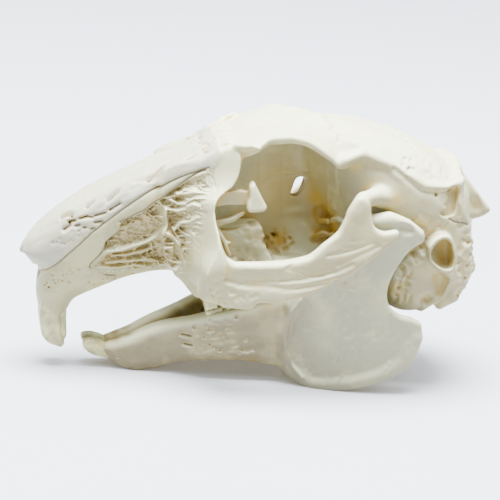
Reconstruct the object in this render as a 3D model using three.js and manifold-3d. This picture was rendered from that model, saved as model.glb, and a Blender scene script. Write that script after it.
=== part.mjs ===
// Cottontail rabbit skull with its lower jaw closed, resting on a level surface.
// Millimetres. The nose points to -X, the animal's left side faces -Y, and +Z is up.
// The bones are distance fields of curved outlines, limbs and ovals that melt into each other.
// Each field is turned into triangles and thinned, and the sockets are cut out of it.

import * as THREE from 'three';
import { mergeVertices } from 'three/addons/utils/BufferGeometryUtils.js';
import Module from 'manifold-3d';

const wasm = await Module();
wasm.setup();

// Driving dimensions
const CRANIUM_CELL = 0.72;
const JAW_CELL = 0.66;
const CRANIUM_TRIANGLES = 4250;
const JAW_TRIANGLES = 1000;
const GAP = 0.3;
const ANGLE_CONTACT = [9.5, -0.7];
const CHIN_CONTACT = [-18.6, 1.05];
const CENTRING_SHIFT = 0.47;
const WIDEST = 20;
const SHEET_HALF = 0.85;
const CHEEK_HALF = 0.9;
const ROW_PITCH = 12.3;
const CROWN_HEIGHT = 1.35;
const SOCKET_DEPTH = 2.4;

const boneMaterial = (color) => new THREE.MeshStandardMaterial({ color, roughness: 0.62, metalness: 0 });
const CRANIUM_MATERIAL = boneMaterial(0xe6dfcf);
const JAW_MATERIAL = boneMaterial(0xe2dac8);
const TOOTH_MATERIAL = new THREE.MeshStandardMaterial({ color: 0xd9cba8, roughness: 0.35, metalness: 0 });

// Blending of distances

function smoothMin(a, b, blend) {
  const overlap = Math.max(blend - Math.abs(a - b), 0) / blend;
  return Math.min(a, b) - overlap * overlap * blend / 4;
}

function smoothMax(a, b, blend) {
  return -smoothMin(-a, -b, blend);
}

// A smooth line through [position, value] pairs, level beyond both ends
function profile(pairs) {
  const last = pairs.length - 1;
  const slope = pairs.map((pair, i) => {
    const before = pairs[Math.max(i - 1, 0)];
    const after = pairs[Math.min(i + 1, last)];
    return (after[1] - before[1]) / (after[0] - before[0]);
  });
  return (position) => {
    if (position <= pairs[0][0]) return pairs[0][1];
    if (position >= pairs[last][0]) return pairs[last][1];
    let i = 0;
    while (position > pairs[i + 1][0]) i += 1;
    const span = pairs[i + 1][0] - pairs[i][0];
    const t = (position - pairs[i][0]) / span;
    const rise = (2 * t - 3) * t * t;
    return pairs[i][1] * (rise + 1) - pairs[i + 1][1] * rise
      + span * (slope[i] * t * (t - 1) ** 2 + slope[i + 1] * t * t * (t - 1));
  };
}

const STEPS_PER_CORNER = 4;

// A closed curve through the corner points, as a function that gives the distance to it
function outline(corners) {
  const flatPoints = corners.map(([u, v]) => new THREE.Vector3(u, v, 0));
  const curve = new THREE.CatmullRomCurve3(flatPoints, true, 'centripetal');
  const points = curve.getPoints(corners.length * STEPS_PER_CORNER).slice(0, -1);
  const box = new THREE.Box3().setFromPoints(points);
  const distance = (u, v) => {
    let nearest = Infinity;
    let inside = false;
    for (let i = 0, j = points.length - 1; i < points.length; j = i, i += 1) {
      const a = points[i];
      const b = points[j];
      const du = b.x - a.x;
      const dv = b.y - a.y;
      const along = THREE.MathUtils.clamp(((u - a.x) * du + (v - a.y) * dv) / (du * du + dv * dv), 0, 1);
      const offU = u - a.x - along * du;
      const offV = v - a.y - along * dv;
      nearest = Math.min(nearest, offU * offU + offV * offV);
      if ((a.y > v) !== (b.y > v) && u < a.x + (v - a.y) * du / dv) inside = !inside;
    }
    return (inside ? -1 : 1) * Math.sqrt(nearest);
  };
  return { box, distance };
}

// Shapes: each has a box that holds it and the distance to its surface

// A symmetric body: its side outline, its half width along X, and how the width changes with height
function body({ side, halfWidth, floor, roof, section, rounding }) {
  const edge = outline(side);
  return {
    box: [edge.box.min.x, -WIDEST, edge.box.min.y, edge.box.max.x, WIDEST, edge.box.max.y],
    distance: (x, y, z) => {
      const height = THREE.MathUtils.clamp((z - floor(x)) / (roof(x) - floor(x)), 0, 1);
      return smoothMax(edge.distance(x, z), Math.abs(y) - halfWidth(x) * section(height), rounding);
    },
  };
}

// An upright plate: its side outline, thickened about a surface y = middle(x, z)
function uprightPlate({ side, middle, half, rounding }) {
  const edge = outline(side);
  return {
    box: [edge.box.min.x, -WIDEST, edge.box.min.y, edge.box.max.x, WIDEST, edge.box.max.y],
    distance: (x, y, z) => smoothMax(edge.distance(x, z), Math.abs(y - middle(x, z)) - half(x, z), rounding),
  };
}

// A level plate: its plan outline, thickened about a surface z = middle(x, y)
function levelPlate({ plan, middle, half, rounding, lowest, highest }) {
  const edge = outline(plan);
  return {
    box: [edge.box.min.x, edge.box.min.y, lowest, edge.box.max.x, edge.box.max.y, highest],
    distance: (x, y, z) => smoothMax(edge.distance(x, y), Math.abs(z - middle(x, y)) - half, rounding),
  };
}

// A chain of round limbs through points [x, y, z, radius]
function limb(...points) {
  const low = [0, 1, 2].map((axis) => Math.min(...points.map((point) => point[axis] - point[3])));
  const high = [0, 1, 2].map((axis) => Math.max(...points.map((point) => point[axis] + point[3])));
  return {
    box: [...low, ...high],
    distance: (x, y, z) => {
      let nearest = Infinity;
      for (let i = 0; i + 1 < points.length; i += 1) {
        const [ax, ay, az, ar] = points[i];
        const [bx, by, bz, br] = points[i + 1];
        const dx = bx - ax;
        const dy = by - ay;
        const dz = bz - az;
        const reach = (x - ax) * dx + (y - ay) * dy + (z - az) * dz;
        const along = THREE.MathUtils.clamp(reach / (dx * dx + dy * dy + dz * dz), 0, 1);
        const off = Math.hypot(x - ax - along * dx, y - ay - along * dy, z - az - along * dz);
        nearest = Math.min(nearest, off - ar - along * (br - ar));
      }
      return nearest;
    },
  };
}

// An oval with its three half axes, tipped about Y by lean degrees
function oval([cx, cy, cz], [rx, ry, rz], lean = 0) {
  const cos = Math.cos(THREE.MathUtils.degToRad(lean));
  const sin = Math.sin(THREE.MathUtils.degToRad(lean));
  const reach = Math.max(rx, rz);
  return {
    box: [cx - reach, cy - ry, cz - reach, cx + reach, cy + ry, cz + reach],
    distance: (x, y, z) => {
      const u = ((x - cx) * cos - (z - cz) * sin) / rx;
      const v = (y - cy) / ry;
      const w = ((x - cx) * sin + (z - cz) * cos) / rz;
      const ratio = Math.hypot(u, v, w);
      return ratio * (ratio - 1) / Math.max(Math.hypot(u / rx, v / ry, w / rz), 1e-6);
    },
  };
}

// The distance field of one bone on a regular grid

const FAR_VALUE = 5;
const NEAREST_CROSSING = 0.08;
const AXIS_STEPS = [[1, 0, 0], [0, 1, 0], [0, 0, 1]];
const TETRAHEDRA = [[0, 1, 2], [1, 2, 0], [2, 0, 1], [0, 2, 1], [2, 1, 0], [1, 0, 2]];

class Field {
  // The corners of the grid are given in whole cells from the origin
  constructor(lowCells, highCells, cell) {
    this.low = lowCells.map((cells) => cells * cell);
    this.cell = cell;
    this.count = lowCells.map((from, axis) => highCells[axis] - from + 1);
    this.values = new Float32Array(this.count[0] * this.count[1] * this.count[2]).fill(FAR_VALUE);
  }

  index(i, j, k) {
    return (i * this.count[1] + j) * this.count[2] + k;
  }

  change(shape, blend, rule) {
    const margin = blend + 2 * this.cell;
    const range = [0, 1, 2].map((axis) => {
      const from = Math.floor((shape.box[axis] - margin - this.low[axis]) / this.cell);
      const to = Math.ceil((shape.box[axis + 3] + margin - this.low[axis]) / this.cell);
      return [Math.max(from, 0), Math.min(to, this.count[axis] - 1)];
    });
    for (let i = range[0][0]; i <= range[0][1]; i += 1) {
      const x = this.low[0] + i * this.cell;
      for (let j = range[1][0]; j <= range[1][1]; j += 1) {
        const y = this.low[1] + j * this.cell;
        for (let k = range[2][0]; k <= range[2][1]; k += 1) {
          const at = this.index(i, j, k);
          this.values[at] = rule(this.values[at], shape.distance(x, y, this.low[2] + k * this.cell));
        }
      }
    }
  }

  add(shape, blend = 1) {
    this.change(shape, blend, (value, distance) => smoothMin(value, distance, blend));
  }

  cut(shape, blend = 0.5) {
    this.change(shape, blend, (value, distance) => smoothMax(value, -distance, blend));
  }

  // Copies the half at y > 0 to the half at y < 0, on a grid with a layer at y = 0
  mirrorHalf() {
    const layers = this.count[1];
    for (let i = 0; i < this.count[0]; i += 1) {
      for (let j = 0; j < (layers - 1) / 2; j += 1) {
        for (let k = 0; k < this.count[2]; k += 1) {
          this.values[this.index(i, j, k)] = this.values[this.index(i, layers - 1 - j, k)];
        }
      }
    }
  }

  // Orders three crossing points so that their face looks from the inner corner to the outer one
  outward(positions, a, b, c, inner, outer) {
    const [p, q, r] = [a, b, c].map((at) => new THREE.Vector3().fromArray(positions, at * 3));
    const normal = q.clone().sub(p).cross(r.sub(p));
    const toOuter = [outer.i, outer.j, outer.k].map((at, axis) => this.low[axis] + at * this.cell);
    const toInner = [inner.i, inner.j, inner.k].map((at, axis) => this.low[axis] + at * this.cell);
    const side = normal.dot(new THREE.Vector3(...toOuter).sub(new THREE.Vector3(...toInner)));
    return side > 0 ? [a, b, c] : [a, c, b];
  }

  // The surface where the field is zero: every cell is split in six tetrahedra about its diagonal
  surface() {
    const positions = [];
    const triangles = [];
    const onEdge = new Map();
    const crossing = (a, b) => {
      const key = a.at * 8 + (b.i - a.i) * 4 + (b.j - a.j) * 2 + (b.k - a.k);
      if (!onEdge.has(key)) {
        onEdge.set(key, positions.length / 3);
        const share = a.value / (a.value - b.value);
        const t = THREE.MathUtils.clamp(share, NEAREST_CROSSING, 1 - NEAREST_CROSSING);
        positions.push(this.low[0] + (a.i + t * (b.i - a.i)) * this.cell);
        positions.push(this.low[1] + (a.j + t * (b.j - a.j)) * this.cell);
        positions.push(this.low[2] + (a.k + t * (b.k - a.k)) * this.cell);
      }
      return onEdge.get(key);
    };
    const joined = (a, b) => (a.order < b.order ? crossing(a, b) : crossing(b, a));
    for (let i = 0; i + 1 < this.count[0]; i += 1) {
      for (let j = 0; j + 1 < this.count[1]; j += 1) {
        for (let k = 0; k + 1 < this.count[2]; k += 1) {
          TETRAHEDRA.forEach((steps) => {
            const corner = [{ i, j, k }];
            steps.forEach((axis, s) => {
              const [di, dj, dk] = AXIS_STEPS[axis];
              corner.push({ i: corner[s].i + di, j: corner[s].j + dj, k: corner[s].k + dk });
            });
            corner.forEach((c, order) => {
              c.order = order;
              c.at = this.index(c.i, c.j, c.k);
              c.value = this.values[c.at];
            });
            const inner = corner.filter((c) => c.value < 0);
            const outer = corner.filter((c) => c.value >= 0);
            if (inner.length === 0 || outer.length === 0) return;
            const face = (a, b, c) => triangles.push(...this.outward(positions, a, b, c, inner[0], outer[0]));
            if (inner.length === 1) {
              face(joined(inner[0], outer[0]), joined(inner[0], outer[1]), joined(inner[0], outer[2]));
            } else if (inner.length === 3) {
              face(joined(inner[0], outer[0]), joined(inner[1], outer[0]), joined(inner[2], outer[0]));
            } else {
              const near = joined(inner[0], outer[0]);
              const far = joined(inner[1], outer[1]);
              face(near, joined(inner[0], outer[1]), far);
              face(near, far, joined(inner[1], outer[0]));
            }
          });
        }
      }
    }
    return { positions, triangles };
  }
}

// Thinning of a closed mesh: the edge whose collapse moves the surface least goes first

class Queue {
  constructor() {
    this.items = [];
  }

  push(item) {
    this.items.push(item);
    let at = this.items.length - 1;
    while (at > 0) {
      const parent = (at - 1) >> 1;
      if (this.items[parent].cost <= item.cost) break;
      this.items[at] = this.items[parent];
      at = parent;
    }
    this.items[at] = item;
  }

  pop() {
    const first = this.items[0];
    const item = this.items.pop();
    if (this.items.length === 0) return first;
    let at = 0;
    for (;;) {
      let child = 2 * at + 1;
      if (child >= this.items.length) break;
      if (child + 1 < this.items.length && this.items[child + 1].cost < this.items[child].cost) child += 1;
      if (this.items[child].cost >= item.cost) break;
      this.items[at] = this.items[child];
      at = child;
    }
    this.items[at] = item;
    return first;
  }
}

// The sum of squared distances to planes and points, as a symmetric matrix A, a vector b and a number c
class Quadric {
  constructor() {
    this.a = [0, 0, 0, 0, 0, 0];
    this.b = [0, 0, 0];
    this.c = 0;
  }

  addPlane([nx, ny, nz], offset, weight) {
    const squares = [nx * nx, nx * ny, nx * nz, ny * ny, ny * nz, nz * nz];
    squares.forEach((square, i) => { this.a[i] += weight * square; });
    [nx, ny, nz].forEach((n, i) => { this.b[i] += weight * n * offset; });
    this.c += weight * offset * offset;
  }

  plus(other) {
    const sum = new Quadric();
    sum.a = this.a.map((value, i) => value + other.a[i]);
    sum.b = this.b.map((value, i) => value + other.b[i]);
    sum.c = this.c + other.c;
    return sum;
  }

  // The point of least cost, and that cost
  best() {
    const [xx, xy, xz, yy, yz, zz] = this.a;
    const matrix = new THREE.Matrix3().set(xx, xy, xz, xy, yy, yz, xz, yz, zz).invert();
    const point = new THREE.Vector3(...this.b).negate().applyMatrix3(matrix);
    return { point, cost: this.c + point.dot(new THREE.Vector3(...this.b)) };
  }
}

const POINT_WEIGHT = 0.004;
const LEAST_NORMAL_AGREEMENT = 0.3;

function thin({ positions, triangles }, wanted) {
  const points = [];
  for (let i = 0; i < positions.length; i += 3) points.push(new THREE.Vector3().fromArray(positions, i));
  const faces = [];
  for (let i = 0; i < triangles.length; i += 3) faces.push(triangles.slice(i, i + 3));
  const around = points.map(() => new Set());
  const quadrics = points.map(() => new Quadric());
  const stamps = points.map(() => 0);

  const normalOf = ([a, b, c]) => b.clone().sub(a).cross(c.clone().sub(a));
  faces.forEach((face, f) => {
    const corners = face.map((at) => points[at]);
    const normal = normalOf(corners);
    const area = normal.length() / 2;
    normal.normalize();
    face.forEach((at) => {
      const p = points[at];
      around[at].add(f);
      quadrics[at].addPlane(normal.toArray(), -normal.dot(p), area);
      quadrics[at].addPlane([1, 0, 0], -p.x, area * POINT_WEIGHT);
      quadrics[at].addPlane([0, 1, 0], -p.y, area * POINT_WEIGHT);
      quadrics[at].addPlane([0, 0, 1], -p.z, area * POINT_WEIGHT);
    });
  });

  const queue = new Queue();
  const offer = (a, b) => {
    const { point, cost } = quadrics[a].plus(quadrics[b]).best();
    queue.push({ a, b, point, cost, stamp: stamps[a] + stamps[b] });
  };
  const neighbours = (at) => {
    const found = new Set();
    around[at].forEach((f) => faces[f].forEach((other) => found.add(other)));
    found.delete(at);
    return found;
  };
  points.forEach((point, a) => neighbours(a).forEach((b) => { if (a < b) offer(a, b); }));

  const turnsOver = (at, gone, point) => [...around[at]].some((f) => {
    if (faces[f].includes(gone)) return false;
    const before = normalOf(faces[f].map((corner) => points[corner]));
    const after = normalOf(faces[f].map((corner) => (corner === at ? point : points[corner])));
    return before.dot(after) < LEAST_NORMAL_AGREEMENT * before.length() * after.length() + 1e-9;
  });

  let left = faces.length;
  while (left > wanted && queue.items.length > 0) {
    const { a, b, point, stamp } = queue.pop();
    if (!around[a] || !around[b] || stamps[a] + stamps[b] !== stamp) continue;
    const nearA = neighbours(a);
    const nearB = neighbours(b);
    if (!nearA.has(b) || [...nearA].filter((at) => nearB.has(at)).length !== 2) continue;
    if (turnsOver(a, b, point) || turnsOver(b, a, point)) continue;
    around[b].forEach((f) => {
      if (faces[f].includes(a)) {
        faces[f].forEach((at) => { if (at !== b) around[at].delete(f); });
        faces[f] = null;
        left -= 1;
      } else {
        faces[f] = faces[f].map((at) => (at === b ? a : at));
        around[a].add(f);
      }
    });
    around[b] = null;
    points[a] = point;
    quadrics[a] = quadrics[a].plus(quadrics[b]);
    stamps[a] = stamps[a] + stamps[b] + 1;
    neighbours(a).forEach((other) => offer(a, other));
  }

  const kept = new Map();
  const out = { positions: [], triangles: [] };
  faces.filter((face) => face !== null).forEach((face) => face.forEach((at) => {
    if (!kept.has(at)) {
      kept.set(at, kept.size);
      out.positions.push(...points[at].toArray());
    }
    out.triangles.push(kept.get(at));
  }));
  return out;
}

// Drops loose islands: keeps the connected shell with the most triangles
function largestShell({ positions, triangles }) {
  const parent = Array.from({ length: positions.length / 3 }, (unused, i) => i);
  const root = (at) => {
    while (parent[at] !== at) {
      parent[at] = parent[parent[at]];
      at = parent[at];
    }
    return at;
  };
  for (let i = 0; i < triangles.length; i += 3) {
    parent[root(triangles[i])] = root(triangles[i + 1]);
    parent[root(triangles[i])] = root(triangles[i + 2]);
  }
  const sizes = new Map();
  triangles.forEach((at) => sizes.set(root(at), (sizes.get(root(at)) ?? 0) + 1));
  const largest = [...sizes.entries()].sort((one, other) => other[1] - one[1])[0][0];
  const renamed = new Map();
  const out = { positions: [], triangles: [] };
  triangles.filter((at) => root(at) === largest).forEach((at) => {
    if (!renamed.has(at)) {
      renamed.set(at, renamed.size);
      out.positions.push(positions[at * 3], positions[at * 3 + 1], positions[at * 3 + 2]);
    }
    out.triangles.push(renamed.get(at));
  });
  return out;
}

// Cranium

const UP_TO_THE_MIDDLE = -4;

const dorsalLine = profile([
  [-36.4, 20.4], [-33.8, 23.7], [-30.1, 26.8], [-26.5, 28.9], [-21.5, 31.4], [-15, 33.9], [-11, 35.3],
  [-7, 36.9], [-3.5, 38.5], [0, 39.8], [4, 40.5], [8, 40.6], [12.6, 40], [18.9, 38.5], [23.7, 36.8],
  [27.7, 34.8], [31, 32.6], [34, 29.6], [36, 27],
]);
const snoutFloor = profile([
  [-34, 11.5], [-30, 10], [-28, 12.3], [-25.5, 13.6], [-19.7, 15.7], [-14.7, 16.7], [-8, 16.9], [0, 17.5],
]);
const braincaseFloor = profile([
  [8, 28], [11, 24.5], [14, 21.2], [18, 18.2], [24, 15.4], [30, 13.8], [35, 13.4],
]);

const snout = body({
  side: [
    [-36.5, 20.3], [-35.5, 22], [-33.6, 23.9], [-30.1, 26.8], [-26.5, 28.9], [-21.5, 31.4], [-15, 33.9],
    [-9, 36.1], [-4, 38.3], [-3.4, 37.4], [-5.2, 34], [-7.4, 30], [-9, 25], [-9.8, 20], [-10.6, 17],
    [-14.7, 16.7], [-19.7, 15.7], [-25.5, 13.6], [-28, 12.3], [-29.4, 10.2], [-30.8, 9.2], [-33, 10.4],
    [-33.7, 13], [-33.5, 16], [-33.2, 18], [-34.4, 18.9],
  ],
  halfWidth: profile([
    [-36.5, 1.8], [-35.5, 3.1], [-34, 4.1], [-31, 4.9], [-27, 5.3], [-22, 5.8], [-17, 6.5], [-12, 7.3],
    [-8, 8.1], [-4, 8.9],
  ]),
  floor: snoutFloor,
  roof: dorsalLine,
  section: profile([[0, 0.62], [0.25, 0.84], [0.5, 0.98], [0.75, 0.98], [1, 0.78]]),
  rounding: 3.2,
});

const braincase = body({
  side: [
    [8, 40.3], [12.6, 39.9], [18.9, 38.4], [23.7, 36.7], [27.7, 34.7], [31, 32.6], [33.2, 30.4],
    [34.6, 27.5], [35.2, 23], [35.4, 17], [34.4, 13.6], [30, 13.8], [24, 15.4], [18, 18.2], [14, 21.2],
    [11, 24.5], [8.6, 29], [7.6, 35],
  ],
  halfWidth: profile([
    [7, 2.4], [9, 4], [11, 6], [13, 8], [15, 9.8], [18, 11.4], [22, 12.3], [26, 12.2], [29, 11.6],
    [31, 10.6], [33, 9], [34.6, 6.8], [35.6, 4],
  ]),
  floor: braincaseFloor,
  roof: dorsalLine,
  section: profile([[0, 0.42], [0.2, 0.74], [0.45, 0.98], [0.65, 1], [0.85, 0.92], [1, 0.8]]),
  rounding: 6,
});

// The roof between the orbits, with the processes over them, drops towards its edges
const roofDrop = profile([
  [-5, 4], [-2, 2.9], [0.5, 2.2], [4.3, 1.8], [6, 2], [7.4, 2.4], [9.2, 3.3], [10.6, 4.1], [12.1, 5.3],
  [15, 4.6],
]);
const frontalRoof = levelPlate({
  plan: [
    [-6, UP_TO_THE_MIDDLE], [-6, 3.5], [-4.8, 6.6], [-3, 9], [-1.3, 10.6], [0.5, 10.7], [1.5, 10],
    [3.2, 10.9], [6, 12.1], [9.5, 12.3], [12, 11.8], [13.8, 10.9], [16, 9.4], [17, UP_TO_THE_MIDDLE],
  ],
  middle: (x, y) => dorsalLine(x) - SHEET_HALF - roofDrop(x) * (y / 11.5) ** 2,
  half: SHEET_HALF,
  rounding: 1,
  lowest: 32,
  highest: 42,
});

const septumHalf = profile([
  [-10, 7], [-7, 5.6], [-3, 4.2], [0, 3], [4, 2.1], [7, 1.8], [10, 2.4], [12, 4.2], [14, 6.4], [16, 8.5],
]);
const septum = uprightPlate({
  side: [
    [-10, 20], [-9, 34], [-3, 38], [0, 39], [10, 39.5], [17, 37], [17.5, 25], [13, 21.6], [8, 22.4],
    [4, 20.4], [0, 18.6], [-4, 18],
  ],
  middle: () => 0,
  half: (x, z) => septumHalf(x) + 4 * Math.max(z - 34, 0) ** 2 / 36,
  rounding: 1,
});

// Bone around the roots of the upper cheek teeth, which bulges up into the orbit
const alveolarBulb = uprightPlate({
  side: [
    [-9.6, 12.8], [-10.2, 15.6], [-7.8, 21], [-4.6, 23.9], [-1.9, 25.4], [0.8, 24], [3.2, 21.2], [6, 19.6],
    [8.4, 18.6], [8.8, 16.6], [4, 15.5], [-2.5, 14.1], [-7.8, 12.8],
  ],
  middle: () => 6.5,
  half: (x, z) => 3 - 0.9 * THREE.MathUtils.clamp((z - 19) / 6, 0, 1),
  rounding: 1.4,
});
const palateBridge = levelPlate({
  plan: [[-5.4, UP_TO_THE_MIDDLE], [-5.6, 5], [4.2, 5], [3.4, 2.2], [3, UP_TO_THE_MIDDLE]],
  middle: (x) => 16.6 + 0.2 * x,
  half: 1,
  rounding: 0.8,
  lowest: 13,
  highest: 20,
});

// Cheek bone: its root fans out from the snout below the rim of the orbit
const CHEEK_ROOTS = [
  [[-10.2, 6.5, 18, 2], [-8.3, 13.7, 17.4, 1.9]],
  [[-9.4, 7, 21.5, 2.2], [-7.8, 13.9, 20.8, 1.6]],
  [[-8.4, 7.5, 25, 2.2], [-7.1, 13.3, 25.3, 1.3]],
  [[-8.2, 6.5, 29, 2.2], [-6, 11.9, 29.2, 1.1]],
  [[-7, 6.5, 33, 2.2], [-4.3, 10.8, 32.7, 1.1]],
  [[-6.4, 5.6, 34.4, 1.8], [-3, 9.6, 36.1, 1]],
];
const cheekMiddle = profile([[-9.6, 14.3], [-6, 15.1], [-2, 15.9], [4, 16.5], [12, 16.9], [20, 16.7]]);
const cheekBone = uprightPlate({
  side: [
    [-9.8, 16], [-9.7, 20.5], [-8.4, 24.4], [-5.4, 22.5], [-2, 21.6], [2.5, 21.4], [6.5, 22], [8.6, 23.9],
    [11.2, 26], [13, 29.4], [14.6, 31.2], [15.9, 29.6], [16.8, 26.4], [18.2, 25.6], [20.3, 25.7],
    [20.4, 24.6], [18.4, 22.9], [14.8, 20.5], [11.6, 18.7], [8.3, 17.1], [5.1, 15.9], [1.9, 15.3],
    [-1.2, 15.2], [-1.9, 14.5], [-5, 14.5], [-7.5, 15.1],
  ],
  middle: (x, z) => cheekMiddle(x) - 0.1 * (z - 18),
  half: () => CHEEK_HALF,
  rounding: 0.8,
});
const cheekUpperBar = limb(
  [-6.8, 14.7, 24.8, 1.1], [-5, 15, 22.2, 1.1], [-1.5, 15.5, 20.8, 1.1], [3, 15.9, 20.6, 1.05],
  [7, 16.1, 21.5, 1], [11, 16.1, 23.4, 0.9],
);
const cheekFurrow = limb([-5.2, 16.6, 18.9, 0.7], [1.8, 17.7, 18.9, 0.7], [10, 18, 20, 0.6]);
const squamosalRoot = limb(
  [18.5, 10.6, 31.4, 1.7], [16.6, 13, 31.8, 1.5], [15, 15, 30.9, 1.2], [13.8, 15.7, 28.4, 1],
);

// Crests
const templeLine = limb(
  [13, 10.9, 35.5, 0.7], [16, 10.2, 36.2, 0.6], [19.6, 10.7, 34.8, 0.6], [22, 11.3, 33.1, 0.6],
  [25.3, 11.5, 31.1, 0.6], [29, 11, 30.6, 0.6], [31.2, 9.4, 31.2, 0.7],
);
const napeCrest = limb(
  [32, 0, 32.4, 0.9], [31.6, 5, 32.2, 0.8], [31.2, 8.2, 31, 0.8], [31.2, 9.6, 28, 0.8], [32, 9.8, 25, 0.8],
  [32.8, 9.6, 21.5, 0.8],
);
const napeShield = uprightPlate({
  side: [
    [30.4, 33], [32.4, 31.8], [34.1, 29.9], [36.3, 26.9], [38, 24.2], [37.2, 23.3], [35.2, 23.2], [32, 24],
    [29.5, 29],
  ],
  middle: () => 0,
  half: () => 4.2,
  rounding: 1,
});

// Ear region and the joint with the neck
const bulla = oval([22.6, 7.8, 14.5], [4.6, 3.6, 4.2]);
const earTube = limb([23.5, 8.5, 16.5, 3], [28, 11.4, 19.4, 2.6], [28, 11.4, 21.9, 2.4]);
const earCanal = limb([28.4, 14.8, 22.2, 1.5], [28.4, 14.8, 19.6, 1.5], [26.8, 10.4, 19.4, 1.2]);
const mastoid = oval([30.6, 9, 19], [3.2, 2.6, 6]);
const besideCondyle = limb([31.4, 8.9, 16, 1.7], [30.8, 9.2, 13, 1.2], [29.3, 9.3, 11.4, 0.8]);
const neckCondyle = limb([32.8, 2.9, 14, 1.6], [33.7, 4.2, 16.2, 1.7], [33.6, 4.4, 18.6, 1.3]);
const neckHole = limb([39, 0, 17, 3.3], [31, 0, 18, 3]);

// Underside
const pterygoid = uprightPlate({
  side: [
    [2.5, 17], [7.5, 16], [10.5, 15], [12.6, 13], [13.9, 13.2], [13.8, 16], [15.4, 20], [13, 23], [5, 22.4],
  ],
  middle: () => 3.3,
  half: () => SHEET_HALF,
  rounding: 0.8,
});
const throatPassage = limb([7, 0, 18.6, 1.9], [-2, 0, 18.9, 1.6]);
const palateSlot = limb(
  [-23.6, 0, 12, 0.8], [-20, 0, 14.2, 1.6], [-15, 0, 15.2, 2.4], [-9, 0, 15.6, 2.9], [-6.6, 0, 15.6, 2.4],
);
const noseOpening = limb([-39, 0, 16.4, 2.6], [-33.4, 0, 17.9, 2.8], [-28, 0, 20, 2.6]);

// Openings of the bony network on the side of the snout, as [x, z]
const NETWORK_PITS = [
  [-21.6, 20.4], [-19.4, 23.4], [-18.4, 19.8], [-16.8, 25.6], [-15.8, 22.2], [-15, 19], [-13.6, 27.6],
  [-12.8, 24.4], [-12.2, 20.8], [-10.6, 28.6], [-9.9, 25],
];
const networkSide = profile([[-22, 5], [-17, 6], [-12, 6.9], [-9, 7.6]]);
const eyePassage = limb([7.4, UP_TO_THE_MIDDLE, 29.8, 0.95], [7.4, 4, 29.8, 0.95]);

function craniumField() {
  const field = new Field([-53, -27, 10], [55, 27, 60], CRANIUM_CELL);
  field.add(snout, 1);
  field.add(braincase, 2);
  field.add(septum, 1.5);
  field.add(frontalRoof, 2.4);
  CHEEK_ROOTS.forEach((root) => field.add(limb(...root), 2.2));
  field.add(alveolarBulb, 1.2);
  field.add(palateBridge, 0.8);
  field.add(cheekBone, 1);
  field.add(cheekUpperBar, 0.6);
  field.add(squamosalRoot, 1.2);
  field.add(templeLine, 1.2);
  field.add(napeShield, 1);
  field.add(napeCrest, 1.2);
  field.add(bulla, 0.8);
  field.add(mastoid, 1);
  field.add(besideCondyle, 1);
  field.add(earTube, 0.8);
  field.add(neckCondyle, 0.8);
  field.add(pterygoid, 0.8);
  field.cut(cheekFurrow, 0.4);
  field.cut(earCanal, 0.5);
  field.cut(neckHole, 0.6);
  field.cut(throatPassage, 0.5);
  field.cut(palateSlot, 0.5);
  field.cut(noseOpening, 0.5);
  field.cut(eyePassage, 0.3);
  NETWORK_PITS.forEach(([x, z]) => {
    const side = networkSide(x);
    field.cut(limb([x - 0.6, side, z - 0.7, 0.9], [x + 0.5, side, z + 0.8, 0.8]), 0.3);
  });
  field.mirrorHalf();
  return field;
}

// Lower jaw: one half, at y > 0

const jawMiddle = profile([
  [-23, 1.8], [-19, 2.1], [-16, 2.4], [-12, 3.6], [-9.5, 4.9], [-6, 5.8], [0, 6.2], [7, 6.7], [10, 7.4],
]);
const jawHalf = profile([[-23, 1.7], [-19, 2], [-14, 2.1], [-8, 2.4], [0, 2.5], [7, 2.3], [10, 1.6]]);
const jawBody = uprightPlate({
  side: [
    [-22.9, 4.2], [-22.5, 2.7], [-21, 1.6], [-18.6, 0.9], [-15.6, 1.3], [-12.8, 2.3], [-8.4, 3.2],
    [-4, 3.3], [0.2, 2.8], [4.7, 2], [9, 3], [10.6, 8], [10, 14.4], [7.6, 14], [1, 12.7], [-6.4, 10.9],
    [-8.2, 10.3], [-10.7, 9.5], [-13.6, 8.8], [-16.6, 7.8], [-19.3, 6.6], [-21.8, 6], [-22.8, 5.5],
  ],
  middle: (x) => jawMiddle(x),
  half: (x) => jawHalf(x),
  rounding: 1.6,
});
const ramusMiddle = profile([[2, 8], [6, 9.2], [9, 10.9], [12, 12], [16, 12.9], [20, 13.3], [25, 13.4]]);
const ramus = uprightPlate({
  side: [
    [5.2, 12], [8, 14.6], [10.6, 18.6], [12.9, 22.2], [15.2, 24.8], [17, 26.6], [20, 27.2], [23.6, 25.4],
    [24.8, 23.4], [23, 22], [21.6, 20.4], [20.3, 18.1], [19.4, 15.4], [19.6, 13.2], [21.2, 11.6],
    [23.4, 10.9], [24.8, 9.8], [24.4, 6.6], [22.8, 3.4], [20.3, 1.7], [17, 0.4], [13, -0.6], [9.6, -1.2],
    [7.2, -0.2], [5, 2], [3.8, 7],
  ],
  middle: (x, z) => ramusMiddle(x) - 0.5 * THREE.MathUtils.clamp((6 - z) / 6, 0, 1),
  half: () => SHEET_HALF,
  rounding: 0.8,
});
const jawCondyle = limb(
  [17.2, 13.4, 26.4, 1.3], [19.4, 13.4, 26.6, 1.4], [22, 13.4, 25.6, 1.2], [24, 13.3, 24.2, 1],
);
const ramusFrontEdge = limb(
  [5.6, 9.4, 12.6, 1.3], [9, 10.9, 16.8, 1.1], [12.6, 12, 21.8, 1], [16, 13, 25.4, 1],
);
const angleEdge = limb(
  [5.4, 8.4, 2, 1.4], [9.4, 10.2, 0.2, 1.3], [13.6, 11.8, 0.7, 1.2], [18, 12.8, 1.9, 1.1], [22, 13.2, 4, 1],
  [23.8, 13.3, 8, 1],
);
const fossaRidge = limb([6.6, 9.8, 14.6, 1], [5.4, 9.6, 11.2, 1], [4.3, 9, 8, 1], [4.4, 8.6, 4.8, 1]);

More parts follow.
